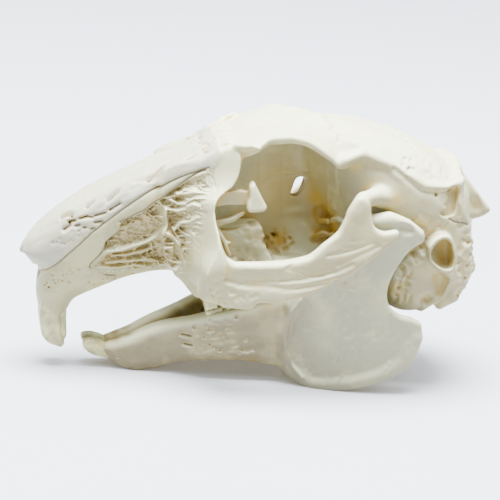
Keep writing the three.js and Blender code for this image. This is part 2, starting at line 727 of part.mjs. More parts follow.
function jawField() {
  const field = new Field([-37, -2, -3], [41, 25, 45], JAW_CELL);
  field.add(jawBody, 1);
  field.add(ramus, 2);
  field.add(ramusFrontEdge, 1);
  field.add(angleEdge, 1);
  field.add(fossaRidge, 1.2);
  field.add(jawCondyle, 0.8);
  return field;
}

// Teeth: closed lofts through rings of points

function loft(rings) {
  const sides = rings[0].length;
  const positions = rings.flat(2);
  const triangles = [];
  for (let ring = 0; ring + 1 < rings.length; ring += 1) {
    for (let side = 0; side < sides; side += 1) {
      const here = ring * sides + side;
      const next = ring * sides + (side + 1) % sides;
      triangles.push(here, next, next + sides, here, next + sides, here + sides);
    }
  }
  const end = (rings.length - 1) * sides;
  for (let side = 1; side + 1 < sides; side += 1) {
    triangles.push(0, side + 1, side);
    triangles.push(end, end + side, end + side + 1);
  }
  return facingOut({ positions, triangles });
}

function facingOut({ positions, triangles }) {
  const corner = (at) => new THREE.Vector3().fromArray(positions, at * 3);
  let volume = 0;
  for (let i = 0; i < triangles.length; i += 3) {
    volume += corner(triangles[i]).dot(corner(triangles[i + 1]).cross(corner(triangles[i + 2])));
  }
  return { positions, triangles: volume > 0 ? triangles : triangles.slice().reverse() };
}

function mirrored({ positions, triangles }) {
  return {
    positions: positions.map((value, i) => (i % 3 === 1 ? -value : value)),
    triangles: triangles.slice().reverse(),
  };
}

const CHEEK_TOOTH_SIDES = 10;
const SOCKET_GAP = GAP + 0.02;
const ROOT_SCALE = 0.9;
const BITE_SCALE = 0.82;
const CROWN_BEVEL = 0.35;

// One ring of a cheek tooth: a rounded oblong with a fold in the middle of its two broad sides
function oblongRing(length, width) {
  const ring = [];
  for (let side = 0; side < CHEEK_TOOTH_SIDES; side += 1) {
    const angle = (side + 0.5) / CHEEK_TOOTH_SIDES * 2 * Math.PI;
    const along = Math.sign(Math.cos(angle)) * Math.sqrt(Math.abs(Math.cos(angle)));
    const across = Math.sign(Math.sin(angle)) * Math.sqrt(Math.abs(Math.sin(angle)));
    ring.push([along * length / 2, across * width / 2]);
  }
  return ring;
}

// A row of cheek teeth: sizes are [length along the row, width across it, shift outwards]
function cheekTeeth({ start, outwards, sizes, upper }) {
  const pitch = THREE.MathUtils.degToRad(ROW_PITCH);
  const towardsCrown = upper ? -1 : 1;
  let along = 0;
  return sizes.map(([length, width, shift]) => {
    const middle = along + length / 2;
    along += length + GAP;
    const ring = (height, grow, scale) => oblongRing(length + 2 * grow, width + 2 * grow).map(([u, v]) => {
      const forward = middle + u * scale;
      const lift = height * towardsCrown;
      return [
        start[0] + forward * Math.cos(pitch) - lift * Math.sin(pitch),
        outwards + shift + v * scale,
        start[1] + forward * Math.sin(pitch) + lift * Math.cos(pitch),
      ];
    });
    return {
      tooth: loft([
        ring(-SOCKET_DEPTH + GAP, 0, ROOT_SCALE),
        ring(CROWN_HEIGHT - CROWN_BEVEL, 0, 1),
        ring(CROWN_HEIGHT, 0, BITE_SCALE),
      ]),
      socket: loft([ring(-SOCKET_DEPTH, SOCKET_GAP, ROOT_SCALE), ring(CROWN_HEIGHT + 1, SOCKET_GAP, 1)]),
    };
  });
}

const FRONT_TOOTH_SIDES = 8;

// A front tooth along points [x, z, half depth], as wide as halfWidth about y = outwards
function frontTooth({ path, outwards, halfWidth, grow = 0 }) {
  const rings = path.map(([x, z, halfDepth], i) => {
    const before = path[Math.max(i - 1, 0)];
    const after = path[Math.min(i + 1, path.length - 1)];
    const run = new THREE.Vector2(after[0] - before[0], after[1] - before[1]).normalize();
    const extra = i === 0 ? -grow : 0;
    const ring = [];
    for (let side = 0; side < FRONT_TOOTH_SIDES; side += 1) {
      const angle = (side + 0.5) / FRONT_TOOTH_SIDES * 2 * Math.PI;
      const deep = Math.cos(angle) * 1.08 * (halfDepth + grow);
      const wide = Math.sin(angle) * 1.08 * (halfWidth + grow);
      ring.push([x + run.x * extra - run.y * deep, outwards + wide, z + run.y * extra + run.x * deep]);
    }
    return ring;
  });
  return loft(rings);
}

const FRONT_TEETH = {
  upper_incisor: {
    path: [[-31.5, 12.8, 1.05], [-32.2, 10.4, 1.15], [-32.2, 8.2, 1.1], [-31.7, 6.6, 0.85], [-31, 5.7, 0.3]],
    outwards: 1.6,
    halfWidth: 1.3,
  },
  peg_tooth: {
    path: [[-29.8, 12, 0.45], [-30.2, 9.6, 0.5], [-30.1, 8, 0.45], [-29.8, 7, 0.25]],
    outwards: 1.5,
    halfWidth: 0.8,
  },
  lower_incisor: {
    path: [[-20.4, 3.5, 0.8], [-23, 3.8, 0.9], [-25, 4.4, 0.85], [-26.3, 5.2, 0.3]],
    outwards: 1.62,
    halfWidth: 1.15,
  },
};
const UPPER_ROW = {
  start: [-8.7, 12.75],
  outwards: 6.6,
  sizes: [[1.8, 2.9, -0.6], [2.5, 3.9, 0], [2.6, 4.2, 0.1], [2.6, 4.1, 0], [2.4, 3.7, -0.2], [1.2, 2, -0.8]],
  upper: true,
};
const LOWER_ROW = {
  start: [-7.6, 9.75],
  outwards: 5.9,
  sizes: [[2.9, 2.9, -0.1], [2.7, 3.1, 0], [2.7, 3.1, 0.1], [2.6, 3, 0.1], [1.8, 2, -0.1]],
  upper: false,
};

// Joining and cutting of closed meshes

function solidOf({ positions, triangles }) {
  const mesh = new wasm.Mesh({
    numProp: 3,
    vertProperties: new Float32Array(positions),
    triVerts: new Uint32Array(triangles),
  });
  return new wasm.Manifold(mesh);
}

function geometryOf(solid) {
  const { vertProperties, triVerts } = solid.getMesh();
  const geometry = new THREE.BufferGeometry();
  geometry.setAttribute('position', new THREE.BufferAttribute(vertProperties, 3));
  geometry.setIndex(new THREE.BufferAttribute(triVerts, 1));
  geometry.computeVertexNormals();
  return geometry;
}

function boxBetween(low, high) {
  const [from, to] = [new THREE.Vector3(...low), new THREE.Vector3(...high)];
  const size = to.clone().sub(from);
  const box = new THREE.BoxGeometry(size.x, size.y, size.z);
  box.translate(...from.add(to).multiplyScalar(0.5).toArray());
  box.deleteAttribute('normal');
  box.deleteAttribute('uv');
  const merged = mergeVertices(box);
  return solidOf({ positions: merged.attributes.position.array, triangles: merged.index.array });
}

function node(name, solid, material) {
  const mesh = new THREE.Mesh(geometryOf(solid), material);
  mesh.name = name;
  return mesh;
}

// Assembly

const skull = new THREE.Group();

const upperRow = cheekTeeth(UPPER_ROW);
const lowerRow = cheekTeeth(LOWER_ROW);
const socketOf = (name) => frontTooth({ ...FRONT_TEETH[name], grow: GAP });
const bothSides = (mesh) => [mesh, mirrored(mesh)];

let cranium = solidOf(thin(largestShell(craniumField().surface()), CRANIUM_TRIANGLES));
const craniumSockets = [
  ...upperRow.map(({ socket }) => socket),
  socketOf('upper_incisor'),
  socketOf('peg_tooth'),
];
craniumSockets.flatMap(bothSides).forEach((socket) => {
  cranium = cranium.subtract(solidOf(socket));
});
skull.add(node('cranium', cranium, CRANIUM_MATERIAL));

// The halves of the lower jaw meet behind the chin, and rest on the chin and on both angles:
// the surface under them rises towards the chin, until the whole skull is turned level below
const contactRise = CHIN_CONTACT[1] - ANGLE_CONTACT[1];
const contactPitch = Math.atan2(contactRise, ANGLE_CONTACT[0] - CHIN_CONTACT[0]);
const underneath = boxBetween([-60, -5, -20], [60, 20, 0])
  .rotate([0, THREE.MathUtils.radToDeg(contactPitch), 0])
  .translate([ANGLE_CONTACT[0], 0, ANGLE_CONTACT[1]]);

let jaw = solidOf(thin(largestShell(jawField().surface()), JAW_TRIANGLES));
jaw = jaw.subtract(underneath);
jaw = jaw.subtract(boxBetween([-40, -5, -10], [40, GAP / 2, 40]));
[...lowerRow.map(({ socket }) => socket), socketOf('lower_incisor')].forEach((socket) => {
  jaw = jaw.subtract(solidOf(socket));
});

['right', 'left'].forEach((side) => {
  const placed = (mesh) => solidOf(side === 'right' ? mesh : mirrored(mesh));
  const dentary = side === 'right' ? jaw : jaw.mirror([0, 1, 0]);
  skull.add(node(`${side}_dentary`, dentary, JAW_MATERIAL));
  Object.entries(FRONT_TEETH).forEach(([name, shape]) => {
    skull.add(node(`${side}_${name}`, placed(frontTooth(shape)), TOOTH_MATERIAL));
  });
  upperRow.forEach(({ tooth }, i) => {
    skull.add(node(`${side}_upper_cheek_tooth_${i + 1}`, placed(tooth), TOOTH_MATERIAL));
  });
  lowerRow.forEach(({ tooth }, i) => {
    skull.add(node(`${side}_lower_cheek_tooth_${i + 1}`, placed(tooth), TOOTH_MATERIAL));
  });
});

// Turned level on its contacts, with the origin under the middle of the whole skull
skull.rotation.y = -contactPitch;
skull.position.x = CENTRING_SHIFT;
skull.position.z = -ANGLE_CONTACT[0] * Math.sin(contactPitch) - ANGLE_CONTACT[1] * Math.cos(contactPitch);

export default skull;
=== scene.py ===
"""Looks of the cottontail rabbit skull: bone grown from distance fields, teeth, floor, light and camera.

Shapes are modelled in millimetres in the skull's own upright frame, with the nose towards -X and the
animal's left side towards -Y, and are then turned onto the resting surface and scaled to metres.
"""

import math

import bpy
import numpy as np
import openvdb
from mathutils import Matrix, Vector


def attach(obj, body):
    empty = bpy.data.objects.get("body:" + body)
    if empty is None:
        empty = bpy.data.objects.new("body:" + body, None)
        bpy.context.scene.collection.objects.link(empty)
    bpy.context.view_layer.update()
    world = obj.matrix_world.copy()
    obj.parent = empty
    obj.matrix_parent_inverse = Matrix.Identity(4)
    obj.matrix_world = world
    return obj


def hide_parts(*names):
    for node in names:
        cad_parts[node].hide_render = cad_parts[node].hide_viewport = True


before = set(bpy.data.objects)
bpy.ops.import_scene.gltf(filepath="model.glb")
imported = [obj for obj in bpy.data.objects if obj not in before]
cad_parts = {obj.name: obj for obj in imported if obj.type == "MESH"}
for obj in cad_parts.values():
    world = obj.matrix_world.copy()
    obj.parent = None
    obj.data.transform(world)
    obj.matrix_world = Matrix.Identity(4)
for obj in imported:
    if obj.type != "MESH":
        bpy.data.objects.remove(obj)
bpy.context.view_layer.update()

# Driving dimensions, in millimetres of the skull's own frame

MM = 0.001
# Where the skull rests, as (x, z), and how it is centred and kept inside the CAD box
ANGLE_CONTACT = (9.5, -0.7)
CHIN_CONTACT = (-18.6, 1.05)
CENTRING_SHIFT = 0.47
BOX_FIT = 0.996
# The cells and the ends of the grids on which the bones grow
BONE_CELL = 0.2
NETWORK_CELL = 0.12
QUICK_CELL_FACTOR = 1.0
CRANIUM_LOW = (-38, 0, 7)
CRANIUM_HIGH = (40, 19.5, 43)
NETWORK_LOW = (-26.2, 3, 16.6)
NETWORK_HIGH = (-6, 14.6, 34)
JAW_LOW = (-25, 0, -3)
JAW_HIGH = (27, 17, 30)
FAR_VALUE = 5.0
# Limits of the boxes that hold the shapes
WIDEST = 20
BOX_MARGIN = 1
UP_TO_THE_MIDDLE = -4
# Thin bone, and the clearance between pieces
SHEET_HALF = 0.85
CHEEK_HALF = 0.9
GAP = 0.3
# Pits and scratches: the least size of a pit and how much it may grow, and how far scratches turn
SMALLEST_PIT = 0.6
PIT_RANGE = 0.65
SCRATCH_WIDTH = 0.17
SCRATCH_SPREAD = 12


# Lines and outlines


def profile(*pairs):
    """A smooth line through (position, value) pairs, level beyond both ends."""
    at = np.array([pair[0] for pair in pairs], float)
    value = np.array([pair[1] for pair in pairs], float)
    before = np.maximum(np.arange(len(at)) - 1, 0)
    after = np.minimum(np.arange(len(at)) + 1, len(at) - 1)
    slope = (value[after] - value[before]) / (at[after] - at[before])

    def line(position):
        position = np.clip(position, at[0], at[-1])
        i = np.clip(np.searchsorted(at, position) - 1, 0, len(at) - 2)
        span = at[i + 1] - at[i]
        t = (position - at[i]) / span
        rise = (2 * t - 3) * t * t
        bend = slope[i] * t * (t - 1) ** 2 + slope[i + 1] * t * t * (t - 1)
        return value[i] * (rise + 1) - value[i + 1] * rise + span * bend

    return line


def closed_curve(corners, steps=6):
    """Points of a closed centripetal curve through the corners."""
    corners = np.array(corners, float)
    points = []
    for i in range(len(corners)):
        p0, p1, p2, p3 = (corners[(i + k - 1) % len(corners)] for k in range(4))
        d0, d1, d2 = (max(np.linalg.norm(b - a), 1e-6) ** 0.5 for a, b in ((p0, p1), (p1, p2), (p2, p3)))
        start = ((p1 - p0) / d0 - (p2 - p0) / (d0 + d1) + (p2 - p1) / d1) * d1
        end = ((p2 - p1) / d1 - (p3 - p1) / (d1 + d2) + (p3 - p2) / d2) * d1
        for step in range(steps):
            t = step / steps
            bend = (-3 * p1 + 3 * p2 - 2 * start - end) * t * t + (2 * p1 - 2 * p2 + start + end) * t**3
            points.append(p1 + start * t + bend)
    return np.array(points)


def segment_distance(u, v, a, b):
    """Distance in a plane from the points (u, v) to the stretch from a to b."""
    du, dv = b[0] - a[0], b[1] - a[1]
    along = np.clip(((u - a[0]) * du + (v - a[1]) * dv) / (du * du + dv * dv), 0, 1)
    return np.hypot(u - a[0] - along * du, v - a[1] - along * dv), along


def path_distance(u, v, path):
    """Distance in a plane to an open path."""
    nearest = np.inf
    for a, b in zip(path, path[1:]):
        nearest = np.minimum(nearest, segment_distance(u, v, a, b)[0])
    return nearest


def signed_path_distance(u, v, path):
    """Distance to an open path, negative on its right side and positive beyond its ends.

    Its sign changes at the path, so the line stays thin between the points of a mesh.
    """
    nearest = np.full(u.shape, np.inf)
    signed = nearest.copy()
    for number, (a, b) in enumerate(zip(path, path[1:])):
        distance, along = segment_distance(u, v, a, b)
        side = np.sign((b[0] - a[0]) * (v - a[1]) - (b[1] - a[1]) * (u - a[0]))
        past = (along == 0) & (number == 0) | (along == 1) & (number == len(path) - 2)
        closer = distance < nearest
        nearest = np.where(closer, distance, nearest)
        signed = np.where(closer, distance * np.where(past | (side == 0), 1, side), signed)
    return signed


def outline_distance(corners, u, v):
    """Distance in a plane to a closed curve, negative inside it."""
    points = closed_curve(corners)
    nearest = np.full(np.broadcast(u, v).shape, np.inf)
    inside = np.zeros(nearest.shape, bool)
    for a, b in zip(points, np.roll(points, -1, axis=0)):
        nearest = np.minimum(nearest, segment_distance(u, v, a, b)[0])
        if a[1] != b[1]:
            crosses = (a[1] > v) != (b[1] > v)
            inside ^= crosses & (u < a[0] + (v - a[1]) * (b[0] - a[0]) / (b[1] - a[1]))
    return np.where(inside, -nearest, nearest)


def scattered(region, spacing, seed):
    """Random places in a region, each with a random share from 0 to 1."""
    (u0, v0), (u1, v1) = np.min(region, axis=0), np.max(region, axis=0)
    count = int((u1 - u0) * (v1 - v0) / spacing**2)
    places = np.random.RandomState(seed).uniform((u0, v0, 0), (u1, v1, 1), (count, 3))
    return places[outline_distance(region, places[:, 0], places[:, 1]) < 0]


# Shapes: each gives a box that holds it, and the distance to its surface


def smooth_min(a, b, blend):
    overlap = np.maximum(blend - np.abs(a - b), 0) / blend
    return np.minimum(a, b) - overlap * overlap * blend / 4


def smooth_max(a, b, blend):
    return -smooth_min(-a, -b, blend)


def side_box(corners):
    (x0, z0), (x1, z1) = np.min(corners, axis=0), np.max(corners, axis=0)
    return x0 - BOX_MARGIN, -WIDEST, z0 - BOX_MARGIN, x1 + BOX_MARGIN, WIDEST, z1 + BOX_MARGIN


def body(side, half_width, floor, roof, section, rounding):
    """A symmetric body: a side outline, a half width along X, and how it changes with height."""

    def distance(x, y, z):
        height = np.clip((z - floor(x)) / (roof(x) - floor(x)), 0, 1)
        edge = outline_distance(side, x, z)
        return smooth_max(edge, np.abs(y) - half_width(x) * section(height), rounding)

    return side_box(side), distance


def upright_plate(side, middle, half, rounding):
    """A side outline thickened by half on both sides of y = middle: numbers, or functions of x and z."""

    def distance(x, y, z):
        y_middle, y_half = (value(x, z) if callable(value) else value for value in (middle, half))
        return smooth_max(outline_distance(side, x, z), np.abs(y - y_middle) - y_half, rounding)

    return side_box(side), distance


def level_plate(plan, middle, half, rounding, lowest, highest):
    """A plan outline thickened about the surface z = middle(x, y)."""

    def distance(x, y, z):
        return smooth_max(outline_distance(plan, x, y), np.abs(z - middle(x, y)) - half, rounding)

    (x0, y0), (x1, y1) = np.min(plan, axis=0), np.max(plan, axis=0)
    box = (x0 - BOX_MARGIN, y0 - BOX_MARGIN, lowest, x1 + BOX_MARGIN, y1 + BOX_MARGIN, highest)
    return box, distance


def limb(*points):
    """A chain of round limbs through points (x, y, z, radius)."""
    points = np.array(points, float)
    low = (points[:, :3] - points[:, 3:]).min(0)
    high = (points[:, :3] + points[:, 3:]).max(0)

    def distance(x, y, z):
        nearest = np.inf
        for a, b in zip(points, points[1:]):
            d = b[:3] - a[:3]
            from_a = (x - a[0], y - a[1], z - a[2])
            along = np.clip(sum(p * q for p, q in zip(from_a, d)) / (d @ d), 0, 1)
            off = np.sqrt(sum((p - along * q) ** 2 for p, q in zip(from_a, d)))
            nearest = np.minimum(nearest, off - a[3] - along * (b[3] - a[3]))
        return nearest

    return (*low, *high), distance


def oval(centre, radii, lean=0):
    """An oval tipped about Y by lean degrees."""
    cos, sin = math.cos(math.radians(lean)), math.sin(math.radians(lean))
    reach = max(radii[0], radii[2])
    low = (centre[0] - reach, centre[1] - radii[1], centre[2] - reach)
    high = (centre[0] + reach, centre[1] + radii[1], centre[2] + reach)

    def distance(x, y, z):
        u = ((x - centre[0]) * cos - (z - centre[2]) * sin) / radii[0]
        v = (y - centre[1]) / radii[1]
        w = ((x - centre[0]) * sin + (z - centre[2]) * cos) / radii[2]
        ratio = np.sqrt(u * u + v * v + w * w)
        slope = np.sqrt((u / radii[0]) ** 2 + (v / radii[1]) ** 2 + (w / radii[2]) ** 2)
        return ratio * (ratio - 1) / np.maximum(slope, 1e-6)

    return (*low, *high), distance


# The distance field of one bone on a regular grid


def smooth_noise(axes, wavelengths, seed):
    """Smooth random values of about -1 to 1 on a grid, with one random knot for each wavelength."""
    random = np.random.RandomState(seed)
    weights = []
    for axis, wavelength in zip(axes, wavelengths):
        place = (np.asarray(axis, float) - axis[0]) / wavelength
        knots = int(place[-1]) + 4
        t = np.abs(place[:, None] + 1 - np.arange(knots)[None, :])
        near = (4 - 6 * t**2 + 3 * t**3) / 6
        far = np.maximum(2 - t, 0) ** 3 / 6
        weights.append(np.where(t < 1, near, far).astype(np.float32))
    knots = random.uniform(-1, 1, [len(w[0]) for w in weights]).astype(np.float32)
    knots = np.tensordot(weights[0], knots, (1, 0))
    knots = np.tensordot(weights[1], knots, (1, 1)).transpose(1, 0, 2)
    return 1.8 * np.tensordot(knots, weights[2], (2, 1))


class Field:
    """The distance field of a bone, and its tone: 0 where clean, 0.5 for tan, 1 for dark brown. Tone marks
    seams and spongy bone, and paints shade into pits, grooves and recesses.
    """

    def __init__(self, low, high, cell):
        self.cell = cell = cell * QUICK_CELL_FACTOR
        self.axes = [np.arange(round(a / cell), round(b / cell) + 1) * cell for a, b in zip(low, high)]
        self.values = np.full([len(axis) for axis in self.axes], FAR_VALUE, np.float32)
        self.tone = np.zeros(self.values.shape, np.float32)

    def window(self, box, margin):
        """The part of the grid near a box: its slices and its three coordinates."""
        slices, places = [], []
        for i, axis in enumerate(self.axes):
            start = int(np.searchsorted(axis, box[i] - margin))
            stop = int(np.searchsorted(axis, box[i + 3] + margin))
            slices.append(slice(start, max(stop, start)))
            places.append(axis[slices[-1]].reshape([-1 if k == i else 1 for k in range(3)]))
        return tuple(slices), places

    def change(self, shape, blend, rule):
        """Puts a shape into the part of the grid that it reaches. rule joins old and new distances."""
        box, distance = shape
        slices, (x, y, z) = self.window(box, blend + 2 * self.cell)
        if self.values[slices].size:
            self.values[slices] = rule(self.values[slices], distance(x, y, z))

    def add(self, *shapes):
        """Adds shapes given as (shape, blend)."""
        for shape, blend in shapes:
            self.change(shape, blend, lambda value, d: smooth_min(value, d, blend))

    def cut(self, *shapes):
        for shape, blend in shapes:
            self.change(shape, blend, lambda value, d: smooth_max(value, -d, blend))

    def add_mirror_half(self):
        """Completes a grid that starts at y = 0 with its mirror image."""
        self.values = np.concatenate([self.values[:, :0:-1], self.values], axis=1)
        self.tone = np.concatenate([self.tone[:, :0:-1], self.tone], axis=1)
        self.axes[1] = np.concatenate([-self.axes[1][:0:-1], self.axes[1]])

    def roughen(self, wavelengths, height, seed):
        """Swells and dips of about so many millimetres along x, y and z."""
        self.values += height * smooth_noise(self.axes, wavelengths, seed)

    def band(self, points, plane, low, high, margin):
        """The grid near points on the side, as (x, z), or on the top, as (x, y), between two depths."""
        points = np.array(points, float)
        second, third = (2, 1) if plane == "side" else (1, 2)
        box = np.zeros(6)
        box[[0, second]], box[[3, second + 3]] = points.min(0) - margin, points.max(0) + margin
        box[third], box[third + 3] = low, high
        slices, places = self.window(box, 0)
        return slices, places[0], places[second]

    def darken(self, slices, tone):
        self.tone[slices] = np.maximum(self.tone[slices], tone)

    def engrave(self, path, width, depth, plane="side", low=1.5, high=WIDEST, tone=0):
        """A groove along a path. A negative depth raises a ridge. Its tone darkens the groove: painted
        shade in grooves and cracks, and dark seams.
        """
        slices, u, v = self.band(path, plane, low, high, 3 * width)
        groove = np.exp(-((path_distance(u, v, path) / width) ** 2))
        self.values[slices] += depth * groove
        self.darken(slices, tone * groove)

    def pit(self, points, radius, depth, plane="side", low=1.5, high=WIDEST, tone=0.8):
        """Small round pits at points, darkened by tone: painted shade inside them."""
        for point in points:
            slices, u, v = self.band([point], plane, low, high, 3 * radius)
            hole = np.exp(-((u - point[0]) ** 2 + (v - point[1]) ** 2) / radius**2)
            self.values[slices] += depth * hole
            self.darken(slices, tone * hole)

    def pepper(self, region, spacing, radius, depth, seed, low=1.5, high=WIDEST, tone=0.45):
        """Pits of many sizes all over a region on the side, darkened by tone: painted shade, and the tan of
        spongy bone.
        """
        for u, v, share in scattered(region, spacing, seed):
            size = SMALLEST_PIT + PIT_RANGE * share
            self.pit([(u, v)], radius * size, depth * size, "side", low, high, tone * size)

    def scratch(self, region, spacing, length, lean, depth, tone, seed, plane="side", low=1.5, high=WIDEST):
        """Short fine grooves all over a region, at about lean degrees to X, darkened by tone: painted shade
        in them.
        """
        for u, v, share in scattered(region, spacing, seed):
            angle = math.radians(lean + SCRATCH_SPREAD * math.sin(40 * share))
            run = np.array([math.cos(angle), math.sin(angle)]) * length * (0.25 + 0.5 * share)
            self.engrave([(u, v) - run, (u, v) + run], SCRATCH_WIDTH, depth, plane, low, high, tone)

    def lift(self, region, height, edge, low=1.5, high=WIDEST):
        """Raises a region on the side, with a soft step of so many millimetres at its edge."""
        slices, x, z = self.band(region, "side", low, high, edge)
        share = np.clip(0.5 - outline_distance(region, x, z) / edge, 0, 1)
        self.values[slices] -= height * share * share * (3 - 2 * share)

    def outer_side(self):
        """How far out the surface lies at each x and z, on a half with y > 0."""
        inside = self.values < 0
        last = inside.shape[1] - 1 - np.argmax(inside[:, ::-1], axis=1)
        last = np.minimum(last, inside.shape[1] - 2)
        here = np.take_along_axis(self.values, last[:, None], 1)[:, 0]
        beyond = np.take_along_axis(self.values, last[:, None] + 1, 1)[:, 0]
        share = np.clip(here / np.minimum(here - beyond, -1e-6), 0, 1)
        return self.axes[1][0] + (last + share) * self.cell

    def sample(self, points, values):
        """What a grid of values holds at points, by straight lines."""
        place = [(points[:, i] - axis[0]) / self.cell for i, axis in enumerate(self.axes)]
        base = [np.clip(p.astype(int), 0, len(axis) - 2) for p, axis in zip(place, self.axes)]
        part = [np.clip(p - b, 0, 1) for p, b in zip(place, base)]
        total = np.zeros(len(points))
        for corner in np.ndindex(2, 2, 2):
            weight = np.prod([part[i] if corner[i] else 1 - part[i] for i in range(3)], axis=0)
            total += weight * values[tuple(b + c for b, c in zip(base, corner))]
        return total

    def surface(self):
        """Points and four-sided faces where the field is zero."""
        grid = openvdb.FloatGrid(FAR_VALUE)
        grid.copyFromArray(np.ascontiguousarray(self.values, np.float32))
        points, triangles, quads = grid.convertToPolygons(isovalue=0.0, adaptivity=0.0)
        start = np.array([axis[0] for axis in self.axes])
        return points * self.cell + start, quads


# Cranium: one half, at y > 0, as [x, z] side outlines and [x, y] plan outlines

dorsal_line = profile(
    (-36.4, 20.4), (-33.8, 23.7), (-30.1, 26.8), (-26.5, 28.9), (-21.5, 31.4), (-15, 33.9), (-11, 35.3),
    (-7, 36.9), (-3.5, 38.5), (0, 39.8), (4, 40.5), (8, 40.6), (12.6, 40), (18.9, 38.5), (23.7, 36.8),
    (27.7, 34.8), (31, 32.6), (34, 29.6), (36, 27),
)
snout_floor = profile(
    (-34, 11.5), (-30, 10), (-28, 12.3), (-25.5, 13.6), (-19.7, 15.7), (-14.7, 16.7), (-8, 16.9), (0, 17.5),
)
braincase_floor = profile((8, 28), (11, 24.5), (14, 21.2), (18, 18.2), (24, 15.4), (30, 13.8), (35, 13.4))

snout = body(
    side=[
        (-36.5, 20.3), (-35.5, 22), (-33.6, 23.9), (-30.1, 26.8), (-26.5, 28.9), (-21.5, 31.4), (-15, 33.9),
        (-9, 36.1), (-4, 38.3), (-3.4, 37.4), (-5.2, 34), (-7.4, 30), (-9, 25), (-9.8, 20), (-10.6, 17),
        (-14.7, 16.7), (-19.7, 15.7), (-25.5, 13.6), (-28, 12.3), (-29.4, 10.2), (-30.8, 9.2), (-33, 10.4),
        (-33.7, 13), (-33.5, 16), (-33.2, 18), (-34.4, 18.9),
    ],
    half_width=profile(
        (-36.5, 1.8), (-35.5, 3.1), (-34, 4.1), (-31, 4.9), (-27, 5.3), (-22, 5.8), (-17, 6.5), (-12, 7.3),
        (-8, 8.1), (-4, 8.9),
    ),
    floor=snout_floor,
    roof=dorsal_line,
    section=profile((0, 0.62), (0.25, 0.84), (0.5, 0.98), (0.75, 0.98), (1, 0.78)),
    rounding=3.2,
)
braincase = body(
    side=[
        (8, 40.3), (12.6, 39.9), (18.9, 38.4), (23.7, 36.7), (27.7, 34.7), (31, 32.6), (33.2, 30.4),
        (34.6, 27.5), (35.2, 23), (35.4, 17), (34.4, 13.6), (30, 13.8), (24, 15.4), (18, 18.2), (14, 21.2),
        (11, 24.5), (8.6, 29), (7.6, 35),
    ],
    half_width=profile(
        (7, 2.4), (9, 4), (11, 6), (13, 8), (15, 9.8), (18, 11.4), (22, 12.3), (26, 12.2), (29, 11.6),
        (31, 10.6), (33, 9), (34.6, 6.8), (35.6, 4),
    ),
    floor=braincase_floor,
    roof=dorsal_line,
    section=profile((0, 0.42), (0.2, 0.74), (0.45, 0.98), (0.65, 1), (0.85, 0.92), (1, 0.8)),
    rounding=6,
)

roof_drop = profile(
    (-5, 2.9), (-2, 1.8), (0.5, 1.2), (4.3, 0.6), (6, 0.7), (7.4, 1.1), (9.2, 2.1), (10.6, 3), (12.1, 4.3),
    (15, 3.8),
)
frontal_roof = level_plate(
    plan=[
        (-6, UP_TO_THE_MIDDLE), (-6, 3.5), (-4.8, 6.6), (-3, 9), (-1.3, 10.6), (0.5, 10.7), (1.5, 10),
        (3.2, 10.9), (6, 12.1), (9.5, 12.3), (12, 11.8), (13.8, 10.9), (16, 9.4), (17, UP_TO_THE_MIDDLE),
    ],
    middle=lambda x, y: dorsal_line(x) - SHEET_HALF - roof_drop(x) * (y / 11.5) ** 2,
    half=0.7 * SHEET_HALF,
    rounding=0.6,
    lowest=32,
    highest=42,
)

septum_half = profile(
    (-10, 7), (-3, 4.2), (3, 2.2), (7.4, 1.1), (10, 2.2), (13, 5.2), (16, 8.5),
)
septum = upright_plate(
    side=[
        (-10, 20), (-9, 33), (-3, 36.8), (0, 37.8), (10, 38.3), (17, 36), (17.5, 25), (13, 21.6), (8, 22.4),
        (4, 20.4), (0, 18.6), (-4, 18),
    ],
    middle=0,
    half=lambda x, z: septum_half(x) + 4 * np.maximum(z - 34, 0) ** 2 / 36,
    rounding=1,
)

alveolar_bulb = upright_plate(
    side=[
        (-9.5, 14.2), (-10.4, 14.9), (-11.6, 16.4), (-12.8, 17.9), (-11, 20), (-9.4, 23.6), (-7, 24.9),
        (-4, 24.9), (-1.6, 25.4), (0.4, 25.2), (1.2, 23.6), (1.4, 21.6), (2.4, 20), (5, 19.4), (8.4, 18.6),
        (8.8, 16.6), (4, 15.5), (-2.5, 14.4), (-7.2, 14),
    ],
    middle=6.5,
    half=lambda x, z: 3 - 0.7 * np.clip((z - 19) / 6, 0, 1) - 1.3 * np.clip((-9.6 - x) / 2.5, 0, 1),
    rounding=0.8,
)
palate_bridge = level_plate(
    plan=[(-5.4, UP_TO_THE_MIDDLE), (-5.6, 5), (4.2, 5), (3.4, 2.2), (3, UP_TO_THE_MIDDLE)],
    middle=lambda x, y: 16.6 + 0.2 * x,
    half=1,
    rounding=0.8,
    lowest=13,
    highest=20,
)

# The front wall of the orbit fans out from the snout to the rim, steeply at the cheek
wall_start = profile((15, -11.5), (20, -12), (26, -13.4), (34, -14))
wall_rim = profile(
    (15, -9.2), (20, -9), (24, -7.4), (27.9, -7.1), (30.1, -6.9), (31.2, -5.6), (32.3, -4.1), (34.5, -3),
    (38, -2.8),
)
wall_inner_side = profile((15, 5.6), (20, 6.4), (30, 6.6), (35, 5.4), (38, 4))
wall_outer_side = profile((15, 14.4), (21, 14.3), (25, 13.6), (29, 12.3), (33, 10.9), (36, 9.9), (38, 9))
wall_half = profile((15, 1.2), (17, 1.5), (20, 2.1), (24, 1.7), (27, 1.2), (31, 0.85), (38, 0.8))


def wall_side(x, z):
    share = np.clip((x - wall_start(z)) / (wall_rim(z) - wall_start(z)), 0, 1.05)
    return wall_inner_side(z) + (wall_outer_side(z) - wall_inner_side(z)) * share**1.4


